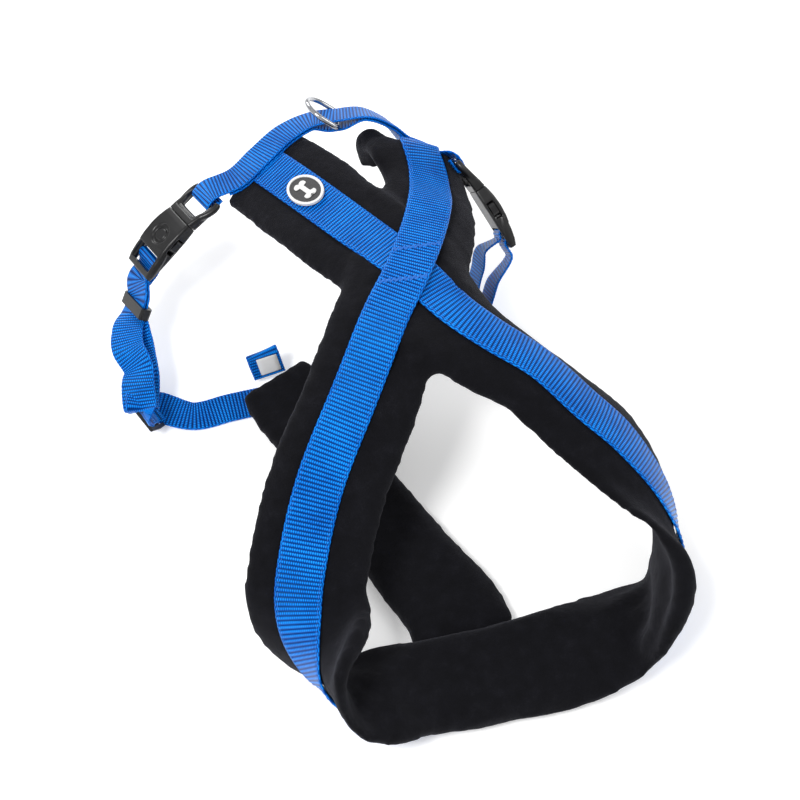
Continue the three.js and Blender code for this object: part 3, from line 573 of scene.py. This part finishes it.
# ---- pads ----
def pad_rings(path, grow=PAD_MARGIN):
    """A padded strip's raw shape: flat under the webbing, a little fuller in its margins."""
    middle = -PAD_THICKNESS / 2
    angles = np.radians(np.linspace(90, -90, 7))
    above = [(-17, -0.4), (-15, -0.9), (0, -0.9), (15, -0.9), (17, -0.4)]
    rings = []

    def rounded(half, angle):
        across = half + grow - PAD_CORNER + PAD_CORNER * math.cos(angle)
        return across, middle + PAD_CORNER * math.sin(angle)

    for front, rear, index in zip(path.front, path.rear, range(len(path.row))):
        rear_edge = [rounded(rear, a) for a in angles]
        front_edge = [(-s, h) for s, h in (rounded(front, a) for a in reversed(angles))]
        under = [(share * rear, -PAD_THICKNESS + 0.4) for share in (0.6, 0.2)]
        under += [(-share * front, -PAD_THICKNESS + 0.4) for share in (0.2, 0.6)]
        outline = np.array([*rear_edge, *under, *front_edge, *above])
        rings.append(path.part(slice(index, index + 1)).at(outline[:, 0], outline[:, 1])[0])
    return np.array(rings)


def joined(name, *objects):
    bpy.ops.object.select_all(action="DESELECT")
    for o in objects:
        o.select_set(True)
    bpy.context.view_layer.objects.active = objects[0]
    bpy.ops.object.join()
    objects[0].name = name
    return objects[0]


def with_modifier(o, kind, **settings):
    """Adds a modifier and applies it."""
    modifier = o.modifiers.new(kind.lower(), kind)
    for key, value in settings.items():
        setattr(modifier, key, value)
    shown = o.evaluated_get(bpy.context.evaluated_depsgraph_get())
    data = bpy.data.meshes.new_from_object(shown)
    o.modifiers.clear()
    o.data = data


def coordinates(o):
    co = np.zeros(len(o.data.vertices) * 3)
    o.data.vertices.foreach_get("co", co)
    return co.reshape(-1, 3)


def set_coordinates(o, co):
    o.data.vertices.foreach_set("co", np.asarray(co, np.float32).ravel())
    o.data.update()


def near(points, co, reach):
    """Which of co lie within reach of any of the points, all in metres."""
    tree = KDTree(len(points))
    for i, p in enumerate(points):
        tree.insert(p, i)
    tree.balance()
    return np.array([tree.find(c)[2] for c in co]) < reach


def puff(o, held, pressure, most):
    """Swells a closed mesh by cloth pressure, with the held vertices kept in place."""
    rest = coordinates(o)
    group = o.vertex_groups.new(name="held")
    group.add([int(i) for i in np.nonzero(held)[0]], 1.0, "REPLACE")
    cloth = o.modifiers.new("cloth", "CLOTH")
    cloth.settings.quality = 5
    cloth.settings.mass = 0.3
    cloth.settings.tension_stiffness = 20
    cloth.settings.compression_stiffness = 20
    cloth.settings.shear_stiffness = 8
    cloth.settings.bending_stiffness = 0.6
    cloth.settings.use_pressure = True
    cloth.settings.uniform_pressure_force = pressure
    cloth.settings.vertex_group_mass = "held"
    cloth.settings.effector_weights.gravity = 0
    cloth.collision_settings.use_collision = False
    cloth.point_cache.frame_start = 1
    cloth.point_cache.frame_end = 20
    for f in range(1, 21):
        bpy.context.scene.frame_set(f)
    shown = o.evaluated_get(bpy.context.evaluated_depsgraph_get())
    moved = np.array([v.co for v in shown.data.vertices]) - rest
    far = np.linalg.norm(moved, axis=1, keepdims=True)
    moved *= np.minimum(1, most / np.maximum(far, 1e-9))
    o.modifiers.clear()
    bpy.context.scene.frame_set(1)
    set_coordinates(o, rest + moved)


def fuzz(o, coarse, fine):
    """Soft undulation and the nubs of fleece pile, as real relief."""
    co = coordinates(o)
    normals = np.zeros(len(co) * 3)
    o.data.vertices.foreach_get("normal", normals)
    normals = normals.reshape(-1, 3)
    push = [
        coarse * noise.noise(Vector(c) * 38) + fine * noise.noise(Vector(c) * 240 + Vector((7, 3, 5)))
        for c in co
    ]
    co = co + normals * np.array(push)[:, None] * MM
    set_coordinates(o, co)


def finish_pad(o, held_points):
    """Turns a pad's raw shape into one puffed skin that stays flat under its webbing."""
    with_modifier(o, "REMESH", mode="VOXEL", voxel_size=PAD_VOXEL)
    held = near(held_points, coordinates(o), HELD_REACH)
    puff(o, held, PAD_PRESSURE, PAD_SWELL)
    with_modifier(o, "SMOOTH", factor=0.5, iterations=6)
    with_modifier(o, "SUBSURF", levels=1)
    fuzz(o, 0.32, 0.22)
    co = coordinates(o)
    co[:, 2] = np.maximum(co[:, 2], LOWEST)
    set_coordinates(o, co)
    o.data.shade_smooth()
    o.data.materials.clear()
    o.data.materials.append(fleece)


long_fine = face_path(LONG_ROWS, PAD_RIB_PITCH / 4)
crossing_fine = face_path(CROSSING_ROWS, PAD_RIB_PITCH / 4)
crossing_fine.lift = crossing_lift(crossing_fine.row)
belly_web_fine = face_path(BELLY_WEB_ROWS, PAD_RIB_PITCH / 4)
long_pad_path = face_path(LONG_ROWS, PAD_ROUGHING)
crossing_pad_path = face_path(CROSSING_ROWS, PAD_ROUGHING)
tucked = {**BELLY[0], "at": (-12.5, 17, BELLY_FACE), "front": 37, "rear": 37}
belly_pad_path = face_path([tucked, *BELLY], PAD_ROUGHING)


def web_points(path):
    """Points under a webbing, in metres, where the padding is sewn down."""
    path = path.part(slice(None, None, 3))
    return ((path.at(np.linspace(-15, 15, 9), 0).reshape(-1, 3)) + ORIGIN) * MM


def rolled_edge():
    """The thick roll of fleece that the right arm's rear edge curls into at its end."""
    path = crossing_pad_path.between(0.2, 1.9)
    share = np.linspace(0, 1, len(path.row))
    centre = path.at((path.rear - 8)[:, None], np.full((len(share), 1), -2.5))[:, 0]
    return tube(centre, 4 + 8 * np.sin(math.pi * np.clip(share, 0.06, 0.94)) ** 0.5, 14)


def inner_fold(path, first, last, swell):
    """A soft fold of fleece that stands along a pad's inner edge where the strip bends hard."""
    part = path.between(first, last)
    share = np.linspace(0, 1, len(part.row))
    centre = part.at(-(part.front + 1)[:, None], np.full((len(share), 1), -6.0))[:, 0]
    return tube(centre, 3 + swell * np.sin(math.pi * share), 12)


arm_start = smoothstep(crossing_pad_path.row, 1.2, 2)
arm_end = smoothstep(crossing_pad_path.row, 3.2, 4.2)
crossing_pad_path.rear -= ARM_NARROWING * arm_start * (1 - arm_end)
neck = joined(
    "neck_pads",
    skin("long_raw", pad_rings(long_pad_path), fleece),
    skin("crossing_raw", pad_rings(crossing_pad_path), fleece),
    skin("rolled_edge", rolled_edge(), fleece),
    skin("right_fold", inner_fold(long_pad_path, 2.2, 4.6, 5), fleece),
    skin("left_fold", inner_fold(crossing_pad_path, CROSSING_CROSS + 4.6, CROSSING_CROSS + 7.4, 4), fleece),
)
finish_pad(neck, np.concatenate([web_points(long_fine), web_points(crossing_fine)]))
neck_solids = [
    f"{part}_{layer}"
    for part in ("long_pad", "left_neck_pad", "right_arm_pad")
    for layer in ("cover", "core")
]
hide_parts(*neck_solids)
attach(neck, "harness")

belly = skin("belly_pad", pad_rings(belly_pad_path, BELLY_MARGIN), fleece)
finish_pad(belly, web_points(belly_web_fine))
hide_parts("belly_pad_cover", "belly_pad_core")
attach(belly, "harness")


# ---- webbing sewn on the pads ----
WEB_START = WEB_GAP - 0.6
WEB_TOP = WEB_START + PAD_WEB_THICKNESS


def sewn_webbing(name, path, replaced):
    made = webbing(name, path, PAD_WEB_WIDTH, WEB_START, PAD_WEB_THICKNESS, PAD_RIB_PITCH, blue)
    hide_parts(replaced)
    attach(made, "harness")


long_web_path = long_fine.part(slice(0, -4))
crossing_web_path = crossing_fine.part(slice(4, None))
sewn_webbing("long_web", long_web_path, "long_webbing")
sewn_webbing("crossing_web", crossing_web_path, "crossing_webbing")
sewn_webbing("belly_web", belly_web_fine, "belly_webbing")


def edge_stitches(name, path, length=2.6, pause=0.9):
    """Two rows of sewn thread along a webbing's edges."""
    lines = []
    pitch = length + pause
    for s in (PAD_WEB_WIDTH / 2 - STITCH_INSET, STITCH_INSET - PAD_WEB_WIDTH / 2):
        for start in np.arange(path.along[0] + 3, path.along[-1] - pitch - 3, pitch):
            places = np.interp(np.linspace(start, start + length, 5), path.along, range(len(path.along)))
            part = path.part(np.round(places).astype(int))
            sunk = WEB_TOP - 0.35 + 0.45 * np.sin(np.linspace(0, math.pi, 5))
            lines.append(part.at(np.full((5, 1), s), sunk[:, None])[:, 0])
    made = many_tubes(name, lines, EDGE_THREAD_RADIUS, thread)
    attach(made, "harness")


edge_stitches("long_web_stitches", long_web_path)
edge_stitches("crossing_web_stitches", crossing_web_path)


# ---- hardware frames: x along the strap, z away from the dog, lengths in millimetres ----
class HardwareFrame:
    def __init__(self, at, along, out):
        self.origin = np.array(at, float)
        self.x = unit(along)
        self.z = unit(np.array(out, float) - (np.array(out) @ self.x) * self.x)
        self.y = np.cross(self.z, self.x)

    def at(self, x, y, z):
        return self.origin + x * self.x + y * self.y + z * self.z


BUCKLES = {
    "left": HardwareFrame((-144, 367.4, 80.7), (0.82, 0.37, 0.436), (-0.44, 0.02, 0.87)),
    "right": HardwareFrame((97, 335, 72), (-0.38, 0.72, 0.58), (0.921, 0.239, 0.302)),
}
KEEPERS = {
    "left": HardwareFrame((-182, 335, 43), (0.53, 0.42, 0.74), (-0.775, -0.1, 0.62)),
    "right": HardwareFrame((66, 278, 11), (0.93, 0.3, 0.2), (0.25, -0.1, -0.96)),
}
GLIDES = {
    "left": HardwareFrame((-193, 256, 17), (-0.39, -0.57, 0.72), (-0.82, -0.14, -0.56)),
    "right": HardwareFrame((34, 276, 8), (1, 0.05, 0.02), (0, 0, -1)),
}
FEMALE_BAR = (-25.5, -3.6)
MALE_BAR = (34.5, -3.2)
GLIDE_BAR_RADIUS = 1.5
GLIDE_HALF_THICKNESS = 1.2
LOOP_RADIUS = BAR_RADIUS + GAP + GIRTH_WEB_THICKNESS / 2 + 0.2


# ---- girth straps ----
def local(frame, *points):
    """Rows of a strap at points (along, out) of a hardware frame."""
    return [{"at": frame.at(x, 0, z), "side": frame.y} for x, z in points]


def turn(frame, bar, start, end, parts, radius=LOOP_RADIUS):
    """A strap's turn round a bar, by angle in degrees."""
    angles = np.radians(np.linspace(start, end, parts + 1))
    return local(frame, *((bar[0] + radius * math.cos(a), bar[1] + radius * math.sin(a)) for a in angles))


def turned_round(rows):
    return [{"at": r["at"], "side": -np.array(r["side"])} for r in rows]


def free(*rows):
    """Rows of a strap where it hangs free."""
    return [{"at": at, "side": side} for at, side in rows]


def plug_rows(frame):
    tail = (44, MALE_BAR[1] - LOOP_RADIUS - 0.4)
    return [*local(frame, tail), *turn(frame, MALE_BAR, 270, 90, 6), *local(frame, (42, 0))]


def girth_webbing(name, path, replaced):
    start = -GIRTH_WEB_THICKNESS / 2
    made = webbing(name, path, GIRTH_WEB_WIDTH, start, GIRTH_WEB_THICKNESS, GIRTH_RIB_PITCH, blue)
    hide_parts(replaced)
    return made


LEFT_PLUG_ROWS = turned_round(plug_rows(BUCKLES["left"]))
BACK_ROWS = [
    *LEFT_PLUG_ROWS,
    *free(
        ((-87, 386, 103), (0.35, -0.9, 0.2)),
        ((-67, 396, 109.5), (0.35, -0.9, 0.2)),
        ((-43, 410, 114), (0.3, -0.92, 0.25)),
        ((-22, 415, 117), (0.2, -0.9, 0.35)),
        ((-2, 411, 120.5), (0.15, -0.9, 0.4)),
        ((20, 407, 121), (0.15, -0.9, 0.4)),
        ((37, 401, 112), (0.1, -0.88, 0.45)),
        ((50, 393, 98), (0, -0.6, 0.8)),
        ((61, 388, 93), (-0.05, -0.6, 0.8)),
        ((72, 378, 91), (-0.05, -0.65, 0.75)),
    ),
    *reversed(plug_rows(BUCKLES["right"])),
]
RING_ROW = len(LEFT_PLUG_ROWS) + 4
back_path = strap_path(BACK_ROWS, GIRTH_RIB_PITCH / 4)
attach(girth_webbing("back_strap_top", back_path, "back_strap_upper"), "harness")

LAYER_DROP = GIRTH_WEB_THICKNESS + GAP + 0.4
RING_DROP = GIRTH_WEB_THICKNESS / 2 + GAP + RING_WIRE_RADIUS + 0.5
ring_station = int(np.argmin(np.abs(back_path.row - RING_ROW)))
ring_point = back_path.p[ring_station]
lower_path = back_path.between(8.6, len(BACK_ROWS) - 9.5)
from_ring = np.linalg.norm(lower_path.p - ring_point, axis=1, keepdims=True)
drop = LAYER_DROP + (2 * RING_DROP - LAYER_DROP) * (1 - smoothstep(from_ring, 3, 22))
lower_path.p = lower_path.p - lower_path.n * drop
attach(girth_webbing("back_strap_under", lower_path, "back_strap_lower"), "harness")

ADJUSTERS = {
    "left": {
        "sewn": free(
            ((-88, 251, 1.2), (-0.1, 1, 0)),
            ((-131, 252, 1.4), (-0.1, 1, 0)),
            ((-160, 252, 1.8), (-0.1, 1, 0)),
        ),
        "outer": free(
            ((-194, 266, 36), (-0.55, 0.76, 0.14)),
            ((-191, 281, 39), (-0.68, 0.68, -0.25)),
            ((-195, 300, 41), (-0.8, 0.55, -0.15)),
            ((-193, 316, 40), (-0.55, 0.8, -0.2)),
        ),
        "inner": free(
            ((-187, 313, 33), (-0.55, 0.78, -0.2)),
            ((-188, 297, 32), (-0.8, 0.55, -0.15)),
            ((-188, 281, 31), (-0.68, 0.68, -0.25)),
            ((-191, 268, 30.5), (-0.55, 0.76, 0.14)),
        ),
        "rise": [],
        "leave": ((-29, -8.3), (-33, -9.3), (-38, -9.9), (-44, -10.6)),
        "fall": [],
        "slack": ((-193, 266, 31), (-188, 320, 38)),
    },
    "right": {
        "sewn": free(
            ((-80, 251.5, 1.2), (0.3, -1, 0)),
            ((-50, 262, 1.4), (0.3, -1, 0)),
            ((0, 273, 2.4), (0.1, -1, 0)),
        ),
        "outer": [],
        "inner": [],
        "rise": free(
            ((81, 282, 13), (0, -0.85, 0.5)),
            ((91, 292, 28), (0.12, -0.7, 0.7)),
        ),
        "leave": ((-27.5, -7.8),),
        "fall": free(
            ((87, 311, 46), (0.12, -0.7, 0.7)),
            ((82, 304, 34), (0.15, -0.7, 0.7)),
            ((77, 297, 24), (0.1, -0.75, 0.6)),
            ((75, 290, 17), (0, -0.85, 0.5)),
        ),
        "slack": ((45, 277, 10), (61, 278, 11)),
    },
}


def adjuster_rows(side):
    part = ADJUSTERS[side]
    glide, buckle, keep = GLIDES[side], BUCKLES[side], KEEPERS[side]
    wrap = GLIDE_BAR_RADIUS + GAP + GIRTH_WEB_THICKNESS / 2 + 0.1
    over = wrap + GIRTH_WEB_THICKNESS + GAP + 0.2
    under = GLIDE_HALF_THICKNESS + GAP + GIRTH_WEB_THICKNESS / 2 + 0.3
    below = under + GIRTH_WEB_THICKNESS + 0.5
    return [
        *part["sewn"],
        *local(glide, (-13, -under), (-8, -2.3), (-4.9, 1.8), (0, over), (4.9, 1.8), (8, -2.3), (13, -under)),
        *part["outer"],
        *local(keep, (-6, 1.25), (6, 1.25)),
        *part["rise"],
        *local(buckle, (-44, -8), (-37, -7.2), (-33, -6.9)),
        *turn(buckle, FEMALE_BAR, 130, -90, 7),
        *local(buckle, *part["leave"]),
        *part["fall"],
        *local(keep, (6, -1.25), (-6, -1.25)),
        *part["inner"],
        *local(glide, (14, -below), (8, -below)),
        *turn(glide, (0, 0), -80, -260, 5, wrap),
    ]


for side in ("left", "right"):
    path = strap_path(adjuster_rows(side), GIRTH_RIB_PITCH / 4)
    strap = girth_webbing(f"{side}_girth_strap", path, f"{side}_adjuster_strap")
    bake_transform(strap)


# ---- box stitching where the two webbings cross ----
WEBBING_ANGLE = math.radians(60)


def zigzag(offset, pitch=1.5, half_width=1.5):
    """A zigzag of thread across the crossing webbing, over one edge of the webbing beneath."""
    half = PAD_WEB_WIDTH / 2 - 1.6
    count = round(2 * half / pitch)
    middle = np.interp(CROSSING_CROSS, crossing_fine.row, crossing_fine.along)
    points = []
    for i in range(count * 4 + 1):
        s = -half + 2 * half * i / (count * 4)
        swing = abs(((i / 4) % 2) - 1) * 2 - 1
        along = middle + offset + s / math.tan(WEBBING_ANGLE) + swing * half_width
        k = int(np.argmin(np.abs(crossing_fine.along - along)))
        points.append(crossing_fine.part(slice(k, k + 1)).at([s], [WEB_TOP + 0.12])[0, 0])
    return points


for name, offset in (("rear", -15), ("front", 15)):
    lines = [zigzag(offset), zigzag(offset + math.copysign(BOX_THREAD_GAP, offset))]
    sewn = many_tubes(f"box_stitch_{name}", lines, BOX_THREAD_RADIUS, thread)
    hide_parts(f"cross_stitch_{name}")
    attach(sewn, "harness")


# ---- lead ring ----
def lead_ring():
    corner = 3
    half = RING_BAR_HALF
    small = np.radians(np.linspace(-90, 0, 6))
    lower = [(half - corner + corner * math.cos(a), corner + corner * math.sin(a)) for a in small]
    arch = [(half * math.cos(a), 11 + half * math.sin(a)) for a in np.radians(np.linspace(0, 180, 40))]
    bar = [(x, 0) for x in np.linspace(-half + corner + 1, half - corner - 1, 8)]
    outline = [*bar, *lower, *arch, *((-x, y) for x, y in reversed(lower))]
    x = back_path.b[ring_station]
    lean = np.array([-0.75, 0.4, 0.53])
    y = unit(lean - (lean @ x) * x)
    centre = ring_point - back_path.n[ring_station] * RING_DROP
    points = [centre + a * x + b * y for a, b in outline]
    made = skin("lead_ring_wire", tube(points, RING_WIRE_RADIUS, 20, closed=True), steel, closed=True)
    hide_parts("lead_ring")
    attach(made, "ring")


lead_ring()


# ---- folded loop and its blank size label ----
LABEL_SIDE = (0.96, 0.05, 0.26)
LABEL_ROWS = free(
    ((-96, 268, 8), LABEL_SIDE),
    ((-97.5, 272, 17.5), LABEL_SIDE),
    ((-98.5, 275.5, 25), LABEL_SIDE),
    ((-99, 277.5, 26.6), LABEL_SIDE),
    ((-99, 279.1, 25), LABEL_SIDE),
    ((-98, 275.6, 16.5), LABEL_SIDE),
    ((-96.5, 271.7, 8), LABEL_SIDE),
)
label_path = strap_path(LABEL_ROWS, GIRTH_RIB_PITCH / 4)
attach(girth_webbing("label_fold", label_path, "label_loop"), "harness")
tag_path = label_path.between(0.25, 1.9)
tag_section = np.array([(10, 0.9), (10, 1.5), (6, 1.6), (-2, 1.6), (-6, 1.5), (-6, 0.9), (-2, 0.9), (6, 0.9)])
tag = skin("size_label", tag_path.at(tag_section[:, 0], tag_section[:, 1]), white_cloth)
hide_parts("label_tag")
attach(tag, "harness")


# ---- bone on the badge ----
BADGE_ROW = LONG_CROSS + 1.86


def bone_outline():
    """A plain bone's outline: four knobs at the ends of a shaft, in millimetres."""
    shaft, half, knob = 6.2, 1.9, 2.9
    middle = knob - 0.6
    outline = []
    for x, y, start in ((-1, 1, 20), (-1, -1, 110), (1, -1, 200), (1, 1, 290)):
        for a in np.radians(np.linspace(start, start + 230, 13)):
            outline.append((x * shaft + knob * math.cos(a), y * middle + knob * math.sin(a)))
    shaft_end = shaft - knob + 0.9
    return np.array([(x, np.clip(y, -half, half) if abs(x) < shaft_end else y) for x, y in outline])


def badge_bone():
    flat = bone_outline()
    along = np.roll(flat, -1, 0) - np.roll(flat, 1, 0)
    inward = unit(np.stack([-along[:, 1], along[:, 0]], 1))
    base = coordinates(NODES["badge_base"])
    k = int(np.argmin(np.abs(long_fine.row - BADGE_ROW)))
    x, z = long_fine.t[k], long_fine.n[k]
    y = np.cross(z, x)
    centre = (base.min(0) + base.max(0)) / 2 / MM - ORIGIN
    rings = []
    for height, inset in ((0.75, 0), (1.15, 0), (1.4, 0.12), (1.5, 0.4)):
        inset_points = flat + inward * inset
        rings.append([centre + a * x + b * y + height * z for a, b in inset_points])
    made = skin("badge_bone", rings, white_rubber)
    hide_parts("badge_motif")
    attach(made, "harness")


badge_bone()


# ---- buckle shells: the CAD solids with moulded, rounded edges and fuller sides ----
def as_local(frame, co):
    """World metres to a hardware frame's millimetres."""
    rows = co / MM - ORIGIN - frame.origin
    return np.stack([rows @ frame.x, rows @ frame.y, rows @ frame.z], 1)


def as_world(frame, local_co):
    """A hardware frame's millimetres to world metres."""
    x, y, z = local_co[:, :1], local_co[:, 1:2], local_co[:, 2:]
    points = frame.origin + x * frame.x + y * frame.y + z * frame.z
    return (points + ORIGIN) * MM


def moulded(side, part, body, rails, shape):
    """A copy of a buckle's CAD solid, thickened by rails and rounded, with its points changed by shape."""
    frame = BUCKLES[side]
    source = NODES[f"{side}_buckle_{part}"]
    copied = bpy.data.objects.new(f"{side}_{part}_shell", source.data.copy())
    bpy.context.scene.collection.objects.link(copied)
    extra = []
    for line, radius in rails:
        points = [frame.at(*p) for p in line]
        curve = spline(points, np.linspace(0, len(points) - 1, 24))
        extra.append(skin("rail", tube(curve, radius, 14), plastic))
    made = joined(copied.name, copied, *extra)
    with_modifier(made, "REMESH", mode="VOXEL", voxel_size=SHELL_VOXEL)
    with_modifier(made, "SMOOTH", factor=0.5, iterations=3)
    set_coordinates(made, as_world(frame, shape(as_local(frame, coordinates(made)))))
    made.data.shade_smooth()
    made.data.materials.clear()
    made.data.materials.append(plastic)
    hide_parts(source.name)
    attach(made, body)


def thumb_dish(co):
    """A shallow oval dish with a raised button, pressed into the top of the housing."""
    away = np.hypot((co[:, 0] + 6) / 9, co[:, 1] / 9.5)
    dip = -1.3 * (1 - smoothstep(away, 0.8, 1.0)) + 0.9 * (1 - smoothstep(away, 0.45, 0.62))
    on_top = smoothstep(co[:, 2], 3.2, 4.4)
    co[:, 2] += dip * on_top
    return co


def both_sides(radius, *line):
    """A rail and its mirror image on the buckle's other side."""
    return [(line, radius), ([(x, -y, z) for x, y, z in line], radius)]


HOUSING_RAILS = [
    *both_sides(2.6, (-35.5, 14.2, -2.6), (-27, 14.6, -1.2), (-19, 14.6, 0.6), (-14.4, 14.4, 2.2)),
    *both_sides(1.9, (-14, 14.2, 3.9), (-6, 14.6, 4.6), (3, 14.4, 4.2), (11.5, 13.4, 3)),
    ([(-35.6, -13, -2.7), (-36.4, 0, -2.7), (-35.6, 13, -2.7)], 2.4),
]
PLUG_RAILS = [
    *both_sides(2.7, (16, 12.9, 1.2), (22, 13.3, 0.2), (29, 15.6, -1.6), (35.5, 16, -3), (39.5, 14.4, -3.4)),
    ([(19.5, -11, 0.2), (19.3, 0, 0.6), (19.5, 11, 0.2)], 2.3),
]
for side in ("left", "right"):
    moulded(side, "housing", f"{side}_buckle", HOUSING_RAILS, thumb_dish)
    moulded(side, "plug", "harness", PLUG_RAILS, lambda co: co)


# ---- other moulded parts keep their CAD solids, with softened edges ----
def shade_smooth_group():
    """A node group that shades whatever mesh it is given smooth."""
    group = bpy.data.node_groups.new("shade_smooth", "GeometryNodeTree")
    for way in ("INPUT", "OUTPUT"):
        group.interface.new_socket("Geometry", in_out=way, socket_type="NodeSocketGeometry")
    start = group.nodes.new("NodeGroupInput")
    smooth = group.nodes.new("GeometryNodeSetShadeSmooth")
    end = group.nodes.new("NodeGroupOutput")
    group.links.new(start.outputs[0], smooth.inputs[0])
    group.links.new(smooth.outputs[0], end.inputs[0])
    return group


SMOOTH = shade_smooth_group()


def dressed(name, material, edge):
    """Gives a CAD node its material and edges rounded by edge millimetres."""
    o = NODES[name]
    o.data.materials.clear()
    o.data.materials.append(material)
    bevel = o.modifiers.new("soft_edges", "BEVEL")
    bevel.width = edge * MM
    bevel.segments = 3
    bevel.limit_method = "ANGLE"
    bevel.angle_limit = math.radians(32)
    shading = o.modifiers.new("shading", "NODES")
    shading.node_group = SMOOTH
    weights = o.modifiers.new("even_faces", "WEIGHTED_NORMAL")
    weights.keep_sharp = True


for side in ("left", "right"):
    dressed(f"{side}_prong_a", plastic, 0.3)
    dressed(f"{side}_prong_b", plastic, 0.3)
    dressed(f"{side}_keeper", plastic, 0.5)
    dressed(f"{side}_tri_glide", plastic, 0.4)
dressed("badge_rim", white_rubber, 0.35)
dressed("badge_base", black_rubber, 0.3)


# ---- floor, light and camera ----
def floor():
    material, tree, surface = shader("studio_floor", 0.9)
    tint = ramp(tree, speckle(tree, 3, 2), (0.3, (0.93, 0.93, 0.93)), (0.7, (0.95, 0.95, 0.95)))
    tree.links.new(tint, surface.inputs["Base Color"])
    surface.inputs["Emission Color"].default_value = (1, 1, 1, 1)
    surface.inputs["Emission Strength"].default_value = 0.3
    half, z = 4000, -0.4
    corners = [(-half, -half, z), (half, -half, z), (half, half, z), (-half, half, z)]
    mesh("studio_floor", corners, [(0, 1, 2, 3)], material, smooth=False)


MIDDLE = (-0.012, 0.191, 0.071)


def aimed(name, data, at):
    """A light or camera at a place in metres, turned towards the middle of the harness."""
    made = bpy.data.objects.new(name, data)
    bpy.context.scene.collection.objects.link(made)
    made.location = at
    made.rotation_euler = (Vector(MIDDLE) - Vector(at)).to_track_quat("-Z", "Y").to_euler()
    return made


def soft_light(name, at, size, power):
    data = bpy.data.lights.new(name, "AREA")
    data.shape = "DISK"
    data.size = size
    data.energy = power
    aimed(name, data, at)


def camera(at, lens):
    data = bpy.data.cameras.new("camera")
    data.lens = lens
    data.sensor_width = 36
    bpy.context.scene.camera = aimed("camera", data, at)


floor()
soft_light("key", (-0.75, -0.25, 1.5), 0.45, 17)
soft_light("fill", (1.0, 0.1, 1.3), 0.9, 5)
soft_light("rim", (-0.2, 1.5, 0.8), 0.6, 7)
world = bpy.data.worlds.new("studio")
world.use_nodes = True
world.node_tree.nodes["Background"].inputs["Color"].default_value = (1, 1, 1, 1)
world.node_tree.nodes["Background"].inputs["Strength"].default_value = 0.6
bpy.context.scene.world = world
bpy.context.scene.view_settings.view_transform = "Standard"
camera((-0.1412, -0.2593, 0.8206), 56.7)
